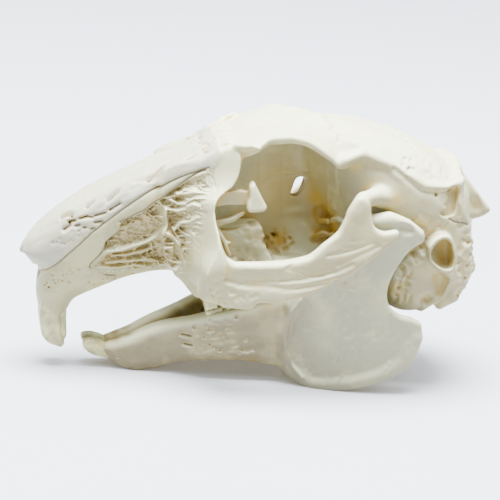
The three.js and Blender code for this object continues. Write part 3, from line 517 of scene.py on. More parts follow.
orbit_front_wall = upright_plate(
    side=[
        (-13.6, 18.8), (-14, 33.8), (-9, 35.6), (-3.7, 37.8), (-2.9, 36.4), (-3, 34.5), (-4.1, 32.4),
        (-5.5, 31.3), (-6.8, 30.1), (-7.1, 27.9), (-6.8, 25.9), (-6.5, 24.2), (-5.9, 22), (-6, 18),
        (-6.8, 16.2), (-8.6, 16), (-9.8, 16.8), (-11.4, 17.8),
    ],
    middle=wall_side,
    half=lambda x, z: wall_half(z),
    rounding=0.6,
)
cheek_middle = profile((-9.6, 14.3), (-6, 15.1), (-2, 15.9), (4, 16.5), (12, 16.9), (20, 16.7))
cheek_bone = upright_plate(
    side=[
        (-9.8, 16), (-9.6, 19.4), (-8.2, 21.4), (-6.6, 21.8), (-5, 21.3), (-2, 21.2), (2.5, 21.3),
        (6.5, 22), (8.6, 23.9), (11.2, 26), (13, 29.4), (14.6, 31.2), (15.9, 29.6), (16.8, 26.4),
        (18.2, 25.6), (20.3, 25.7), (20.4, 24.6), (18.4, 22.9), (14.8, 20.5), (11.6, 18.7), (8.3, 17.1),
        (5.1, 15.9), (1.9, 15.3), (-1.2, 15.2), (-1.9, 14.5), (-5, 14.5), (-7.5, 15.1),
    ],
    middle=lambda x, z: cheek_middle(x) - 0.1 * (z - 18),
    half=CHEEK_HALF,
    rounding=0.8,
)
cheek_upper_bar = limb(
    (-7.2, 13.9, 23.6, 0.6), (-6.4, 14.7, 21.6, 0.85), (-4.6, 15.2, 20.5, 0.9), (-1.5, 15.5, 20.3, 1.05),
    (3, 15.9, 20.5, 1.05), (7, 16.1, 21.4, 1), (11, 16.1, 23.4, 0.9),
)
cheek_furrow = limb((-5.2, 16.6, 18.9, 0.7), (1.8, 17.7, 18.9, 0.7), (10, 18, 20, 0.6))
squamosal_root = limb(
    (19.5, 11, 29.4, 1.6), (17.4, 12.8, 30.2, 1.4), (15.6, 14.8, 30.5, 1.1), (14.2, 15.7, 28.6, 0.9),
)
crown_shoulder = limb((8, 6.4, 38.5, 1), (12, 7.4, 37.4, 1.1), (15, 8.4, 36.4, 1.1), (18, 9, 35.5, 1))

temple_line = limb(
    (13, 10.9, 35.5, 0.7), (16, 10.2, 36.2, 0.6), (19.6, 10.7, 34.8, 0.6), (22, 11.3, 33.1, 0.6),
    (25.3, 11.5, 31.1, 0.6), (29, 11, 30.6, 0.6), (31.2, 9.4, 31.2, 0.7),
)
nape_crest = limb(
    (32, 0, 32.4, 0.9), (31.6, 5, 32.2, 0.8), (31.2, 8.2, 31, 0.8), (31.2, 9.6, 28, 0.8),
    (32, 9.8, 25, 0.8), (32.8, 9.6, 21.5, 0.8),
)
nape_shield = upright_plate(
    side=[
        (30.4, 33), (32.4, 31.9), (34.1, 30), (36.2, 27.2), (37.7, 25), (36.9, 24.2), (35, 23.6), (32, 24),
        (29.5, 29),
    ],
    middle=0,
    half=4.2,
    rounding=1,
)

bulla = oval((23.9, 7.9, 14.8), (5.1, 3.8, 4.3))
ear_tube = upright_plate(
    side=[
        (28.2, 24), (26.6, 23.5), (25.6, 22.2), (25.6, 20.6), (26.5, 19.2), (27.8, 18.1), (29.4, 17.9),
        (30.2, 19), (30, 21.6), (29.3, 23.4),
    ],
    middle=lambda x, z: 11.4 + 0.2 * (28 - x),
    half=2.5,
    rounding=0.5,
)
ear_canal = upright_plate(
    side=[
        (28.1, 23.4), (26.9, 22.9), (26.1, 21.7), (26.2, 20.3), (27.1, 19.2), (28.3, 18.5), (29.3, 18.6),
        (29.7, 19.8), (29.5, 21.8), (28.9, 23),
    ],
    middle=lambda x, z: 13.8 - 0.5 * (x - 28),
    half=3.2,
    rounding=1.4,
)
ear_funnel = limb((23.4, 8.4, 16.6, 2.8), (26.4, 10.2, 19.4, 2.6))
mastoid = oval((30.6, 9, 19), (3.2, 2.6, 6))
below_ear = limb((29, 12.4, 18.2, 1), (30.1, 11.2, 17.1, 1.2), (30.8, 9.6, 16.2, 1.3))
beside_condyle = limb((31.4, 8.9, 16, 1.7), (30.4, 9.2, 13, 1.3), (28.6, 9.1, 11.5, 0.8))
neck_condyle = limb((32.8, 2.9, 14, 1.6), (33.7, 4.2, 16.2, 1.7), (33.6, 4.4, 18.6, 1.3))
neck_hole = limb((39, 0, 17, 3.3), (31, 0, 18, 3))

pterygoid = upright_plate(
    side=[
        (2.5, 17), (7.5, 16), (10.5, 15), (12.6, 13), (13.9, 13.2), (13.8, 16), (15.4, 20), (14.6, 24),
        (9.5, 25.6), (4.4, 25), (2.4, 21),
    ],
    middle=lambda x, z: 3.4 - 2.8 * np.clip((z - 17.5) / 7, 0, 1),
    half=SHEET_HALF,
    rounding=0.8,
)
throat_passage = limb((7, 0, 18.6, 1.9), (-2, 0, 18.9, 1.6))
palate_slot = limb(
    (-23.6, 0, 12, 0.8), (-20, 0, 14.2, 1.6), (-15, 0, 15.2, 2.4), (-9, 0, 15.6, 2.9), (-6.6, 0, 15.6, 2.4),
)
nose_opening = limb((-39, 0, 17, 2), (-34, 0, 18.1, 2.2), (-28, 0, 20, 2.2))
eye_passage = upright_plate(
    side=[(7.3, 30.5), (8.5, 30.5), (8.1, 29.1), (7.4, 27.8), (6.3, 27.9), (6.7, 29.4)],
    middle=0,
    half=4,
    rounding=0.4,
)

# Spurs and ledges inside the orbit
lacrimal_horn = upright_plate(
    side=[
        (-1.6, 32.3), (-1, 32.7), (-0.6, 32), (0.2, 30.4), (0.9, 29), (0.6, 28.5), (-0.4, 28.4),
        (-2.1, 28.6), (-2.2, 29.6), (-1.8, 30.6),
    ],
    middle=lambda x, z: 11.3 - 0.25 * (z - 30) - 0.2 * x,
    half=1.2,
    rounding=0.6,
)
horn_stem = upright_plate(
    side=[
        (-8, 31.2), (-4.4, 31.3), (-2.6, 31.4), (-1.6, 30.8), (-1.7, 29.4), (-2.8, 29), (-4.6, 29),
        (-8, 28.8),
    ],
    middle=lambda x, z: 10.4 + 0.1 * x,
    half=0.5,
    rounding=0.4,
)
ORBIT_LIMBS = [
    [(-8, 9.4, 25.8, 0.6), (-6, 9.6, 26.2, 0.5), (-4.2, 9.6, 26.6, 0.5), (-2.5, 9.4, 27.6, 0.4)],
    [(-3.2, 9, 37.8, 0.6), (-2.1, 10.3, 38, 0.5), (-1.2, 10.9, 38.2, 0.4), (-0.2, 11.2, 37.9, 0.35)],
    [(-6.6, 9.6, 25.4, 0.45), (-5.6, 10.2, 23.6, 0.4), (-5.1, 10.4, 22.3, 0.35), (-4.6, 10.4, 21, 0.35)],
    [(-6.4, 9, 23.4, 0.5), (-4.6, 10, 23, 0.3)],
    [(11.9, 3.6, 27.8, 0.5), (12.3, 5, 27.3, 0.4), (12.6, 5.6, 26.6, 0.3)],
    [(10.6, 3, 24.2, 0.5), (11.6, 4.6, 24.4, 0.45), (12.7, 5.6, 25, 0.4), (13.8, 6.4, 24.5, 0.5)],
    [(9.6, 2.4, 21.2, 0.6), (11, 4.2, 22.4, 0.5), (12.4, 5.4, 22.2, 0.6)],
]
orbit_pocket = oval((10.4, 4, 25), (1.5, 2.4, 2))
ORBIT_RING_PITS = [(3, 20.6), (5, 20.8), (3.8, 21.7)]
ORBIT_ROOF_SEAM = [
    (-3.6, 31.4), (-1, 30.2), (1.1, 30.4), (2.9, 31.3), (4.7, 31.5), (6.5, 31.1), (8.8, 31.6),
]

# Seams between bones, as (x, z) on the side
NASAL_SEAM = [
    (-34, 17.6), (-33.4, 17.6), (-32.3, 18.1), (-30.5, 19.4), (-28.8, 20.9), (-27, 22.5), (-25.2, 24.2),
    (-22.4, 26.4), (-20.8, 27.6), (-18.4, 29.3), (-16.7, 30.4), (-15.1, 31.3), (-13, 32.4), (-10.6, 33.5),
    (-8.9, 34.1), (-7.5, 34.7),
]
STRIP_SEAM = [
    (-20.9, 25.9), (-18.7, 27), (-17.1, 27.8), (-15.5, 29.1), (-13.8, 30.4), (-12.2, 31.6), (-10.6, 32.8),
    (-9.3, 33.7), (-8, 34.3),
]
MAXILLA_SEAM = [
    (-21.1, 24.3), (-22.1, 23.5), (-23.1, 22.6), (-23.4, 21.6), (-24.2, 20.3), (-25.4, 19.1), (-25.6, 18.5),
    (-25.2, 18.2), (-24.6, 17.9), (-23.7, 17.4), (-22.8, 16.9), (-21.5, 16.7),
]
REAR_SEAM = [(29.2, 26), (30.3, 25.3), (31.9, 24.9), (33.6, 24.1)]
NASAL_REGION = [
    (-37, 20), (-34.4, 17.2), *NASAL_SEAM[2:-1], (-6.4, 35), (-6, 40), (-20, 40), (-38, 28),
]

# Dashes and pores in the nasal bone
NASAL_DASHES = [
    [(-27, 26.3), (-25.8, 26.7), (-25, 26.5)], [(-24.7, 26.8), (-23.1, 27.3)], [(-24.7, 25.8), (-23.5, 26)],
    [(-26.4, 25), (-26, 25.1)], [(-25.3, 24.8), (-24.8, 25)], [(-29.4, 24.6), (-28.4, 25.3)],
    [(-28.6, 25.7), (-27.6, 26)], [(-22.4, 27.7), (-20.8, 28.7)], [(-27.6, 25.2), (-27, 25.4)],
]
NASAL_PORES = [
    (-31.2, 22.7), (-30.5, 22.7), (-29.8, 22.6), (-29.4, 22.5), (-28.3, 23.1), (-27.3, 23.8), (-28.9, 22.9),
    (-30.1, 23.3), (-26.4, 23.6), (-27.2, 24.4),
]
# Marks on the top, as (x, distance from the middle)
TOP_DASHES = [
    [(-28, 4.1), (-28.7, 3.6), (-29.7, 3.4)], [(-25.8, 4.2), (-24.8, 4.1)], [(-22.7, 4.9), (-21, 4.6)],
    [(-10.7, 6.2), (-9, 5.4)], [(-8, 4.4), (-6.1, 3.2)], [(-16.5, 5.2), (-14.2, 4.9)],
    [(-13.4, 4), (-11.6, 3.7)],
]
TOP_SEAMS = [
    [(-36, 0), (-20, 0), (-8, 0), (-7, 0.2), (4, 0), (12, 0.1), (24, 0)],
    [(-8.4, 0), (-7.4, 1.4), (-8.2, 2.6), (-6.8, 3.8), (-8, 5.2), (-7.4, 6.6)],
    [(12, 0), (11.4, 2), (12.3, 3.6), (11.6, 5.4), (12.8, 7), (12.2, 8.6)],
    [(24, 0), (24.6, 2), (23.8, 4), (24.8, 6.4)],
]
CROWN_PATCH = [(-20, 0), (-20, 5), (-6, 7), (0, 9.6), (9, 9), (10, 0)]

# Marks on the side: pores, patches full of pits or scratches, grooves and ridges
PREMAXILLA_PORES = [
    (-32.3, 14.9), (-32.1, 16), (-31.8, 15.3), (-31.1, 16.6), (-30.8, 16.1), (-30.3, 16.7), (-29.8, 16.4),
    (-29.7, 17.4), (-28.8, 16.2), (-31.3, 17.4), (-28.6, 18.3), (-29, 17.6), (-28.3, 17.9), (-25.6, 15.9),
    (-24.8, 15.2), (-24.6, 14.4), (-23.5, 16.2), (-22.8, 16.4), (-21.6, 16.1), (-32.4, 15.6), (-27.2, 18.2),
]
ARCH_PATCH = [
    (-3, 20.4), (3, 20.4), (8, 21), (14, 25), (18, 24.6), (12, 20), (5, 17.4), (-2, 16.4), (-5, 18),
]
PREMAXILLA_PATCH = [
    (-33.1, 14.4), (-32.6, 15.8), (-31.4, 16.7), (-29.8, 17), (-28.9, 16.6), (-31.2, 15.5), (-32.6, 13.8),
]
NOSE_TIP_SHADE_EDGE = [(-36.7, 21.3), (-36.1, 20.9), (-35.9, 20.3), (-35.3, 19.9), (-34.9, 19.2)]
# Grooves of the cheek arch as (width, depth, path)
ARCH_GROOVES = [
    (0.42, 0.3, [
        (-7.4, 19.6), (-5, 18.8), (-2.4, 18), (-0.5, 18.1), (3.1, 17.6), (6.9, 17.8), (10.6, 18.6),
    ]),
    (0.3, 0.22, [(-2.4, 18.8), (0.4, 18.7), (5, 18.8), (8, 19.3), (10.5, 19.9), (13.3, 21)]),
    (0.22, 0.25, [(9.4, 22.5), (12, 22.9), (14.2, 23.4), (16.1, 24.1)]),
    (0.25, 0.22, [(3.8, 21), (3.2, 20.6), (5.1, 20.2), (6.9, 19.4), (8.6, 19.3)]),
    (0.3, 0.14, [(-3, 20.2), (0, 19.9), (3, 19.8)]),
    (0.3, 0.16, [(11, 20.9), (14, 22.2), (17.4, 23.6)]),
]
PARIETAL_PATCH = [
    (21.4, 34.9), (24, 35.4), (27, 34.2), (29.8, 32.2), (28, 31.4), (25.4, 31.9), (22.6, 33.6),
]
TUBERCLE_PATCH = [(-8.4, 18.4), (-5.6, 19.2), (-3.4, 17.4), (-0.6, 16.4), (-3.2, 15.2), (-7.2, 15.6)]
BULLA_PATCH = [(21.4, 18.6), (23.2, 18.8), (23.8, 15), (23.6, 12.4), (21.4, 12.4), (21, 16)]
NAPE_PATCH = [
    (31.8, 24.6), (34.8, 24.4), (35.4, 20), (34.8, 15.6), (32.4, 12.2), (30.6, 12.8), (32, 17), (32.2, 21),
]
MASTOID_PATCH = [(29.8, 25.2), (32.2, 24.6), (32.6, 20), (31.6, 16), (30.2, 14.6), (30.4, 18), (30.6, 22)]
ABOVE_EAR_PATCH = [
    (21.6, 27.4), (28, 25.6), (27.6, 24.2), (26, 23.6), (25.4, 21), (24.6, 19), (23.6, 20.4), (23.4, 24),
]
BULB_PATCH = [
    (-4.4, 20), (-4, 23), (-2.8, 24.8), (-0.4, 25.4), (0.8, 24.4), (1.2, 22), (4, 20.4), (0, 19.4),
]
BEHIND_BULB_PATCH = [(1.4, 22.6), (6.2, 22.4), (6.6, 19.4), (1.8, 19.2)]
PARIETAL_RIM = [
    (20.6, 34.1), (22.1, 32.9), (23.4, 31.8), (24.8, 30.7), (26.3, 30.4), (28, 30.3), (29.5, 30.4),
]
CREST_LINE = [(31.7, 31.9), (31.2, 30.2), (31.1, 28.9), (31.4, 26.3), (31, 25.2)]
BELOW_EAR_RIDGE = [(29.4, 15.8), (29.2, 14.6), (28.6, 13.2), (26.9, 11.8), (25.6, 10.9)]
BULLA_SLITS = [
    [(22.3, 18), (22.2, 16.8)], [(22.8, 16.2), (22.6, 14.8)], [(22.2, 14.6), (22.5, 13.2)],
    [(23.3, 17.6), (23.1, 16.6)], [(21.7, 16), (21.8, 15)], [(23.4, 14), (23.2, 12.8)],
]
NAPE_RECESS = [
    (30.8, 30.6), (29.8, 30.9), (28.8, 30), (29.2, 28.9), (28.4, 28.3), (28.8, 27.6), (27.7, 27.2),
    (28, 26.5), (29.9, 26.5), (30.5, 28.1),
]
BELOW_NETWORK = [(-26.6, 17.6), (-24, 17), (-20, 17.2), (-14, 17.4), (-15, 16.4), (-20, 15.6), (-25, 14.4)]
NAPE_RECESS_DEPTH = 0.8
# The tone of the painted shade on a recess's floor, full at FULL_SHADE_DEPTH
PAINTED_RECESS_SHADE = 0.52
RECESS_EDGE = 0.3
FULL_SHADE_DEPTH = 1.5
ON_TOP = {"plane": "top", "low": 20, "high": 45}
SEAM_WIDTH = 0.2

# Roughness as wavelengths along x, y and z, and height
SWELLS = ((3, 2, 2), 0.06)
CRANIUM_GRAIN = ((1.6, 0.7, 0.7), 0.035)
JAW_GRAIN = ((1.4, 0.7, 0.7), 0.035)

# The bony network on the side of the snout: its outline, and how deep the recess behind it is
NETWORK_OUTLINE = [
    (-25.5, 18.8), (-24.4, 20), (-23.3, 21.4), (-23, 22.6), (-21.2, 24.1), (-20.7, 25.6), (-17.3, 27.4),
    (-15.4, 28.9), (-12.2, 31.3), (-9.6, 33), (-7.4, 33.4), (-6.8, 31.6), (-8.1, 29.1), (-8.6, 26.3),
    (-9.2, 23.8), (-9.6, 21.4), (-9.9, 19.1), (-12.4, 18.2), (-15.3, 17.4), (-18.6, 17.1), (-22.1, 17),
    (-24.6, 17.6),
]
# Where the struts fade out: below and behind
NETWORK_FADE = [(-25.6, 18.2), *NETWORK_OUTLINE[:9:-1]]
network_depth = profile(
    (-26, 0.8), (-23.5, 1.4), (-20, 1.8), (-12, 1.8), (-10.4, 1.1), (-8, 0.8), (-6, 0.6),
)


def mark_cranium(field):
    """Cuts and raises the small forms on the cranium's side and top.

    pepper is given spacing, radius, depth and seed; scratch spacing, length, lean, depth, tone and seed.
    """
    # The tones below darken seams and paint shade into pits, cracks and grooves.
    field.lift(NASAL_REGION, 0.2, 0.5, low=2)
    for seam, depth in ((NASAL_SEAM, 0.3), (STRIP_SEAM, 0.35), (MAXILLA_SEAM, 0.25)):
        field.engrave(seam, SEAM_WIDTH, depth, low=3)
    field.engrave(REAR_SEAM, SEAM_WIDTH, 0.25, low=5)
    for seam in TOP_SEAMS:
        field.engrave(seam, SEAM_WIDTH, 0.22, tone=0.3, **ON_TOP)
    for number, dash in enumerate(NASAL_DASHES):
        field.engrave(dash, 0.19 + 0.05 * (number % 3), 0.55, low=3, tone=1)
    field.pit(NASAL_PORES, 0.2, 0.35, low=3, tone=1)
    for dash in TOP_DASHES:
        field.engrave(dash, 0.2, 0.35, tone=0.85, **ON_TOP)
    field.pit(PREMAXILLA_PORES, 0.17, 0.4, low=2, tone=1.1)
    field.pepper(PREMAXILLA_PATCH, 0.62, 0.16, 0.22, 7, low=2, tone=0.7)
    # A dark line along the nose tip's edge: painted shade under the nasal bones' tips.
    field.engrave(NOSE_TIP_SHADE_EDGE, 0.3, 0.35, low=0.6, tone=0.75)
    # The arch's grooves are darkened as much as they are deep: painted shade in them.
    for width, depth, path in ARCH_GROOVES:
        field.engrave(path, width, depth, low=15.8, tone=depth)
    field.engrave(PARIETAL_RIM, 0.45, 0.35, low=6)
    field.engrave(CREST_LINE, 0.35, -0.35, low=4)
    field.engrave(BELOW_EAR_RIDGE, 0.45, -0.65, low=6)
    for slit in BULLA_SLITS:
        field.engrave(slit, 0.28, 0.4, low=6, tone=0.4)
    field.pit([(25.9, 13.1), (26.2, 12.7)], 0.8, 0.6, low=6, tone=0.5)
    field.pit([(34.8, 26.6), (35.3, 25.7)], 0.8, 0.4, low=2, tone=0.4)
    field.pepper(PARIETAL_PATCH, 0.7, 0.24, 0.16, 1, low=6, tone=0.15)
    field.pepper(TUBERCLE_PATCH, 0.75, 0.26, 0.22, 2, low=12)
    field.pepper(BULLA_PATCH, 0.7, 0.3, 0.28, 3, low=6, tone=0.3)
    field.pepper(NAPE_PATCH, 0.55, 0.24, 0.24, 4, low=3)
    field.pepper(MASTOID_PATCH, 0.9, 0.4, 0.2, 8, low=6)
    field.pepper(ABOVE_EAR_PATCH, 0.65, 0.3, 0.25, 9, low=6)
    field.pepper(BULB_PATCH, 0.8, 0.4, 0.25, 5, low=6, high=11)
    field.pepper(BEHIND_BULB_PATCH, 0.7, 0.3, 0.25, 6, low=0.5, high=6)
    field.scratch(NASAL_REGION, 1.3, 1.8, 32, 0.05, 0.14, 12, low=2)
    field.scratch(BELOW_NETWORK, 1, 1.2, 5, 0.14, 0.2, 13, low=2)
    field.scratch(ARCH_PATCH, 1.3, 2.2, 14, 0.07, 0.16, 15, low=15.8)
    field.scratch(CROWN_PATCH, 2, 3.4, 8, 0.08, 0.1, 16, **ON_TOP)
    field.pit([(27.1, 29.8)], 0.24, 0.7, low=8)
    field.pit(ORBIT_RING_PITS, 0.32, 0.3, low=0.5, high=6)
    field.engrave(ORBIT_ROOF_SEAM, 0.3, 0.2, low=0.5, high=7)


def sink_region(field, surface, region, depth):
    """Cuts a recess with an even floor into the side, with painted shade that deepens towards its floor.
    surface is how far out the side lies.
    """
    slices, x, z = field.band(region, "side", 3, WIDEST, 1)
    y = field.axes[1][slices[1]].reshape(1, -1, 1)
    floor_side = surface[slices[0], slices[2]][:, None] - depth(x)
    recess = np.maximum(outline_distance(region, x, z), floor_side - y)
    field.values[slices] = smooth_max(field.values[slices], -recess, RECESS_EDGE)
    below_side = surface[slices[0], slices[2]][:, None] - y
    shade = PAINTED_RECESS_SHADE * np.clip(below_side / FULL_SHADE_DEPTH, 0, 1)
    field.darken(slices, np.where(recess < 0.4, shade, 0))


def cranium_field():
    """The whole cranium's field, and how far out its side lies before the network's recess is cut."""
    field = Field(CRANIUM_LOW, CRANIUM_HIGH, BONE_CELL)
    field.add(
        (snout, 1), (braincase, 2), (septum, 1.5), (frontal_roof, 1.5), (crown_shoulder, 2),
        (orbit_front_wall, 1.2), (alveolar_bulb, 1.2), (palate_bridge, 0.8), (cheek_bone, 1),
        (cheek_upper_bar, 0.6), (squamosal_root, 1.2), (temple_line, 1.2), (nape_shield, 1),
        (nape_crest, 1.2), (bulla, 0.8), (mastoid, 1), (beside_condyle, 1), (below_ear, 0.8),
        (ear_funnel, 1.2), (ear_tube, 0.7), (neck_condyle, 0.8), (pterygoid, 0.8),
    )
    field.cut((orbit_pocket, 0.6))
    field.add((lacrimal_horn, 0.3), (horn_stem, 0.6), *((limb(*points), 0.5) for points in ORBIT_LIMBS))
    field.cut(
        (cheek_furrow, 0.4), (ear_canal, 0.25), (neck_hole, 0.6), (throat_passage, 0.5),
        (palate_slot, 0.5), (nose_opening, 0.5), (eye_passage, 0.3),
    )
    mark_cranium(field)
    surface = field.outer_side()
    sink_region(field, surface, NETWORK_OUTLINE, network_depth)
    sink_region(field, surface, NAPE_RECESS, lambda x: NAPE_RECESS_DEPTH)
    field.add_mirror_half()
    field.roughen(*SWELLS, seed=11)
    field.roughen(*CRANIUM_GRAIN, seed=12)
    return field, surface


# Struts of the network as (half width, height, [(x, z), ...])
NETWORK_STRUTS = [
    (0.5, 1, [
        (-25, 19.2), (-22.9, 20.9), (-20.4, 21.2), (-18.8, 21.8), (-17.1, 22.3), (-15.5, 23.2),
        (-14.4, 24.3), (-13.9, 25.5), (-14.1, 27.1), (-13.9, 28),
    ]),
    (0.3, 0.8, [(-22.1, 20.2), (-19.6, 20.3), (-17.1, 20.9), (-14.1, 22), (-13.1, 22.1)]),
    (0.3, 0.8, [(-22.9, 19), (-20.4, 19.1), (-17.7, 19.2), (-15.4, 18.9)]),
    (0.3, 0.8, [(-23.7, 18.2), (-21.2, 18), (-18.7, 18.4), (-17, 18.1)]),
    (0.42, 0.95, [(-14.3, 24.5), (-13, 23.7), (-12.1, 22.5), (-11.7, 20.8), (-11.5, 19.1)]),
    (0.3, 0.8, [(-13, 25.1), (-12.4, 23.8), (-11.9, 22.8)]),
    (0.36, 0.9, [(-10.2, 24.7), (-10.3, 22.8), (-10.1, 21.3), (-10.3, 19.6)]),
    (0.42, 1, [(-13.9, 28), (-12.3, 27.8), (-11.1, 28.3), (-10.2, 29.2), (-9.3, 29.1)]),
    (0.5, 1, [(-12.2, 30.4), (-11, 30.6), (-9.8, 31)]),
    (0.26, 0.8, [(-16.1, 22.1), (-15.9, 20.9)]),
    (0.34, 0.9, [(-13.2, 29.4), (-12.3, 28.9), (-11.3, 29)]),
    (0.36, 0.9, [(-12.8, 24.8), (-11.8, 26.1), (-10.6, 26.5), (-9.5, 27.4)]),
]
# Its openings as (x, z, extra reach)
NETWORK_OPENINGS = [
    (-18.9, 23.9, 1.1), (-16.4, 25.2, 1.1), (-20.7, 22.7, 0.3), (-17.1, 21.6, 0.1), (-14.9, 22.6, 0.1),
    (-21.1, 20.6, 0), (-22, 19.6, 0), (-19.5, 19.7, 0), (-18, 19.8, 0), (-23, 18.6, 0), (-21.2, 18.6, 0),
    (-14.6, 20.5, 0.3), (-12.9, 20.9, 0.2), (-13, 26.6, 0.2), (-11.9, 31.3, 0), (-10.4, 32, 0),
    (-11.8, 29.7, 0), (-10.5, 27.9, 0), (-11.7, 27.1, 0), (-10.9, 25.4, 0), (-12.7, 23.3, 0),
    (-10.9, 21.1, 0), (-11.1, 22.6, 0),
]
# Its random strands as (wavelength along x, along z, seed, height, sharpness)
NETWORK_STRANDS = ((1.1, 0.65, 5, 0.9, 1.4), (0.54, 0.42, 6, 0.7, 1.4), (0.34, 0.3, 10, 0.45, 1))
STRAND_THINNESS = 2.8
OPENING_STRETCH = 1.5
OPENING_REACH = 0.4
OPENING_SHARE = 0.65
NETWORK_INSET = 0.12
NETWORK_OVERLAP = 0.3
FADE_WIDTH = 1.6


def network_field(side_map, side_x, side_z):
    """The struts and openings in the snout's side. side_map is how far out it lies at side_x and side_z."""
    field = Field(NETWORK_LOW, NETWORK_HIGH, NETWORK_CELL)
    x, y, z = np.meshgrid(*field.axes, indexing="ij", sparse=True)
    rows = np.array([np.interp(field.axes[2], side_z, row) for row in side_map])
    side = np.array([np.interp(field.axes[0], side_x, column) for column in rows.T]).T[:, None]
    below = side - y

    def wander(along_x, along_z, seed):
        axes = (field.axes[0], field.axes[2], [0, 1])
        return smooth_noise(axes, (along_x, along_z, 9), seed)[:, None, :, 0]

    relief = 0
    for along_x, along_z, seed, height, sharpness in NETWORK_STRANDS:
        strand = np.clip(1 - STRAND_THINNESS * np.abs(wander(along_x, along_z, seed)), 0, 1)
        relief = np.maximum(relief, height * strand**sharpness)
    for hole_x, hole_z, reach in NETWORK_OPENINGS:
        off = np.hypot((x - hole_x) / OPENING_STRETCH, z - hole_z) / (OPENING_REACH + reach)
        relief = relief * (1 - OPENING_SHARE * np.exp(-(off**4)))
    for half_width, height, path in NETWORK_STRUTS:
        off = path_distance(x, z, path) / (half_width * (1.1 + 0.5 * wander(0.8, 0.8, 7)))
        relief = np.maximum(relief, height * (1 + 0.2 * wander(1, 1, 8)) * np.exp(-(off**2)))
    fade = np.clip(path_distance(x, z, NETWORK_FADE) / FADE_WIDTH, 0, 1)
    fade = fade * fade * (3 - 2 * fade)
    sink = 0.95 * network_depth(x) * (1 - np.minimum(relief, 1.1)) * fade
    surface_depth = NETWORK_INSET + sink + 0.08 * wander(0.5, 0.4, 9)
    values = np.maximum(surface_depth - below, below - network_depth(x) - NETWORK_OVERLAP)
    field.values[:] = np.maximum(values, outline_distance(NETWORK_OUTLINE, x, z) - NETWORK_OVERLAP)
    # Painted shade that deepens below the snout's side, in the recess behind the struts.
    field.tone[:] = PAINTED_RECESS_SHADE * np.clip((below - 0.2) / 1.2, 0, 1)
    return field


# Lower jaw: one half, at y > 0

jaw_middle = profile(
    (-23, 1.7), (-19, 2.1), (-16, 2.4), (-12, 3.6), (-9.5, 4.9), (-6, 5.8), (0, 6.2), (7, 6.7), (10, 7.4),
)
jaw_half = profile(
    (-24, 1.2), (-22, 1.6), (-19, 1.95), (-14, 2.1), (-8, 2.4), (0, 2.5), (7, 2.3), (10, 1.6),
)
jaw_body = upright_plate(
    side=[
        (-24, 4.3), (-23.2, 3), (-21.4, 1.8), (-18.6, 0.9), (-15.6, 1.3), (-12.8, 2.3), (-8.4, 3.2),
        (-4, 3.3), (0.2, 2.8), (4.7, 2), (9, 3), (10.6, 8), (10, 14.4), (7.6, 14), (1, 12.7), (-6.4, 10.9),
        (-8.2, 10.3), (-10.7, 9.5), (-13.6, 8.8), (-16.6, 7.8), (-19.3, 6.6), (-21.8, 5.8), (-23.6, 5.2),
    ],
    middle=lambda x, z: jaw_middle(x),
    half=lambda x, z: jaw_half(x),
    rounding=1.6,
)
ramus_middle = profile((2, 8), (6, 9.2), (9, 10.9), (12, 12), (16, 12.9), (20, 13.3), (25, 13.4))
MASSETER_HOLLOW = [
    (7, 0.4), (10.4, -0.1), (13.2, 0.5), (17.8, 1.9), (21.9, 4.7), (23.2, 7.8), (22.8, 9.4), (21, 10.4),
    (18.6, 12.4), (17.6, 14), (17.6, 17), (15.6, 20), (12, 18), (8, 15), (6.6, 12.4), (5.4, 9.4), (5, 7),
    (5.4, 4.6), (6.2, 2.8),
]
HOLLOW_DIP = 0.26
HOLLOW_EDGE = 1.1


def hollow_dip(x, z):
    return HOLLOW_DIP * np.clip(-outline_distance(MASSETER_HOLLOW, x, z) / HOLLOW_EDGE, 0, 1)


ramus = upright_plate(
    side=[
        (5.2, 12), (8, 14.6), (10.6, 18.6), (12.9, 22.2), (15.2, 24.8), (17, 26.6), (20, 27.2),
        (23.6, 25.4), (24.8, 23.4), (23, 22), (21.6, 20.4), (20.3, 18.1), (19.4, 15.4), (19.6, 13.2),
        (21.2, 11.6), (23.4, 10.9), (24.8, 9.8), (24.4, 6.6), (22.8, 3.4), (20.3, 1.7), (17, 0.4),
        (13, -0.6), (9.6, -1.2), (7.2, -0.2), (5, 2), (3.8, 7),
    ],
    middle=lambda x, z: ramus_middle(x) - 0.5 * np.clip((6 - z) / 6, 0, 1) - hollow_dip(x, z),
    half=SHEET_HALF,
    rounding=0.8,
)
JAW_PORES = [
    (-9.7, 8.7), (-3.3, 10.5), (-1.8, 7), (-1.6, 5.1), (-0.8, 5.3), (-2.3, 5.2), (-21.4, 3.3), (-8.2, 7.3),
    (-6.9, 8.6), (-7.4, 6.1), (-5.8, 5.2),
]
JAW_SLITS = [[(-11.6, 7.4), (-10.2, 7.3)], [(-11.2, 5.9), (-10, 5.8)]]
FOSSA_EDGE = [(6.2, 13.8), (5, 11.9), (4.2, 9.3), (3.9, 7.1), (4.3, 4.8), (5.2, 2.8), (6.6, 1)]
JAW_PORE_PATCH = [(-10.4, 8.8), (-8, 10), (-4.4, 9.8), (-2.8, 6), (-3, 3.8), (-8.2, 4), (-10.4, 5)]
FOSSA_PATCH = [(10.8, 16), (12.8, 18), (15.4, 17.6), (13.4, 14.8)]
jaw_condyle = limb(
    (17.2, 13.4, 26.4, 1.3), (19.4, 13.4, 26.6, 1.4), (22, 13.4, 25.6, 1.2), (24, 13.3, 24.2, 1),
)
ramus_front_edge = limb((5.6, 9.4, 12.6, 1.3), (9, 10.9, 16.8, 1.1), (12.6, 12, 21.8, 1), (16, 13, 25.4, 1))
angle_edge = limb(
    (5.2, 8.6, 1.8, 1.2), (8.4, 10.2, -0.2, 1), (13.6, 11.9, 0.3, 0.9), (18, 12.9, 1.3, 0.85),
    (22.6, 13.2, 3.8, 0.85), (24.1, 13.3, 7.6, 0.85),
)
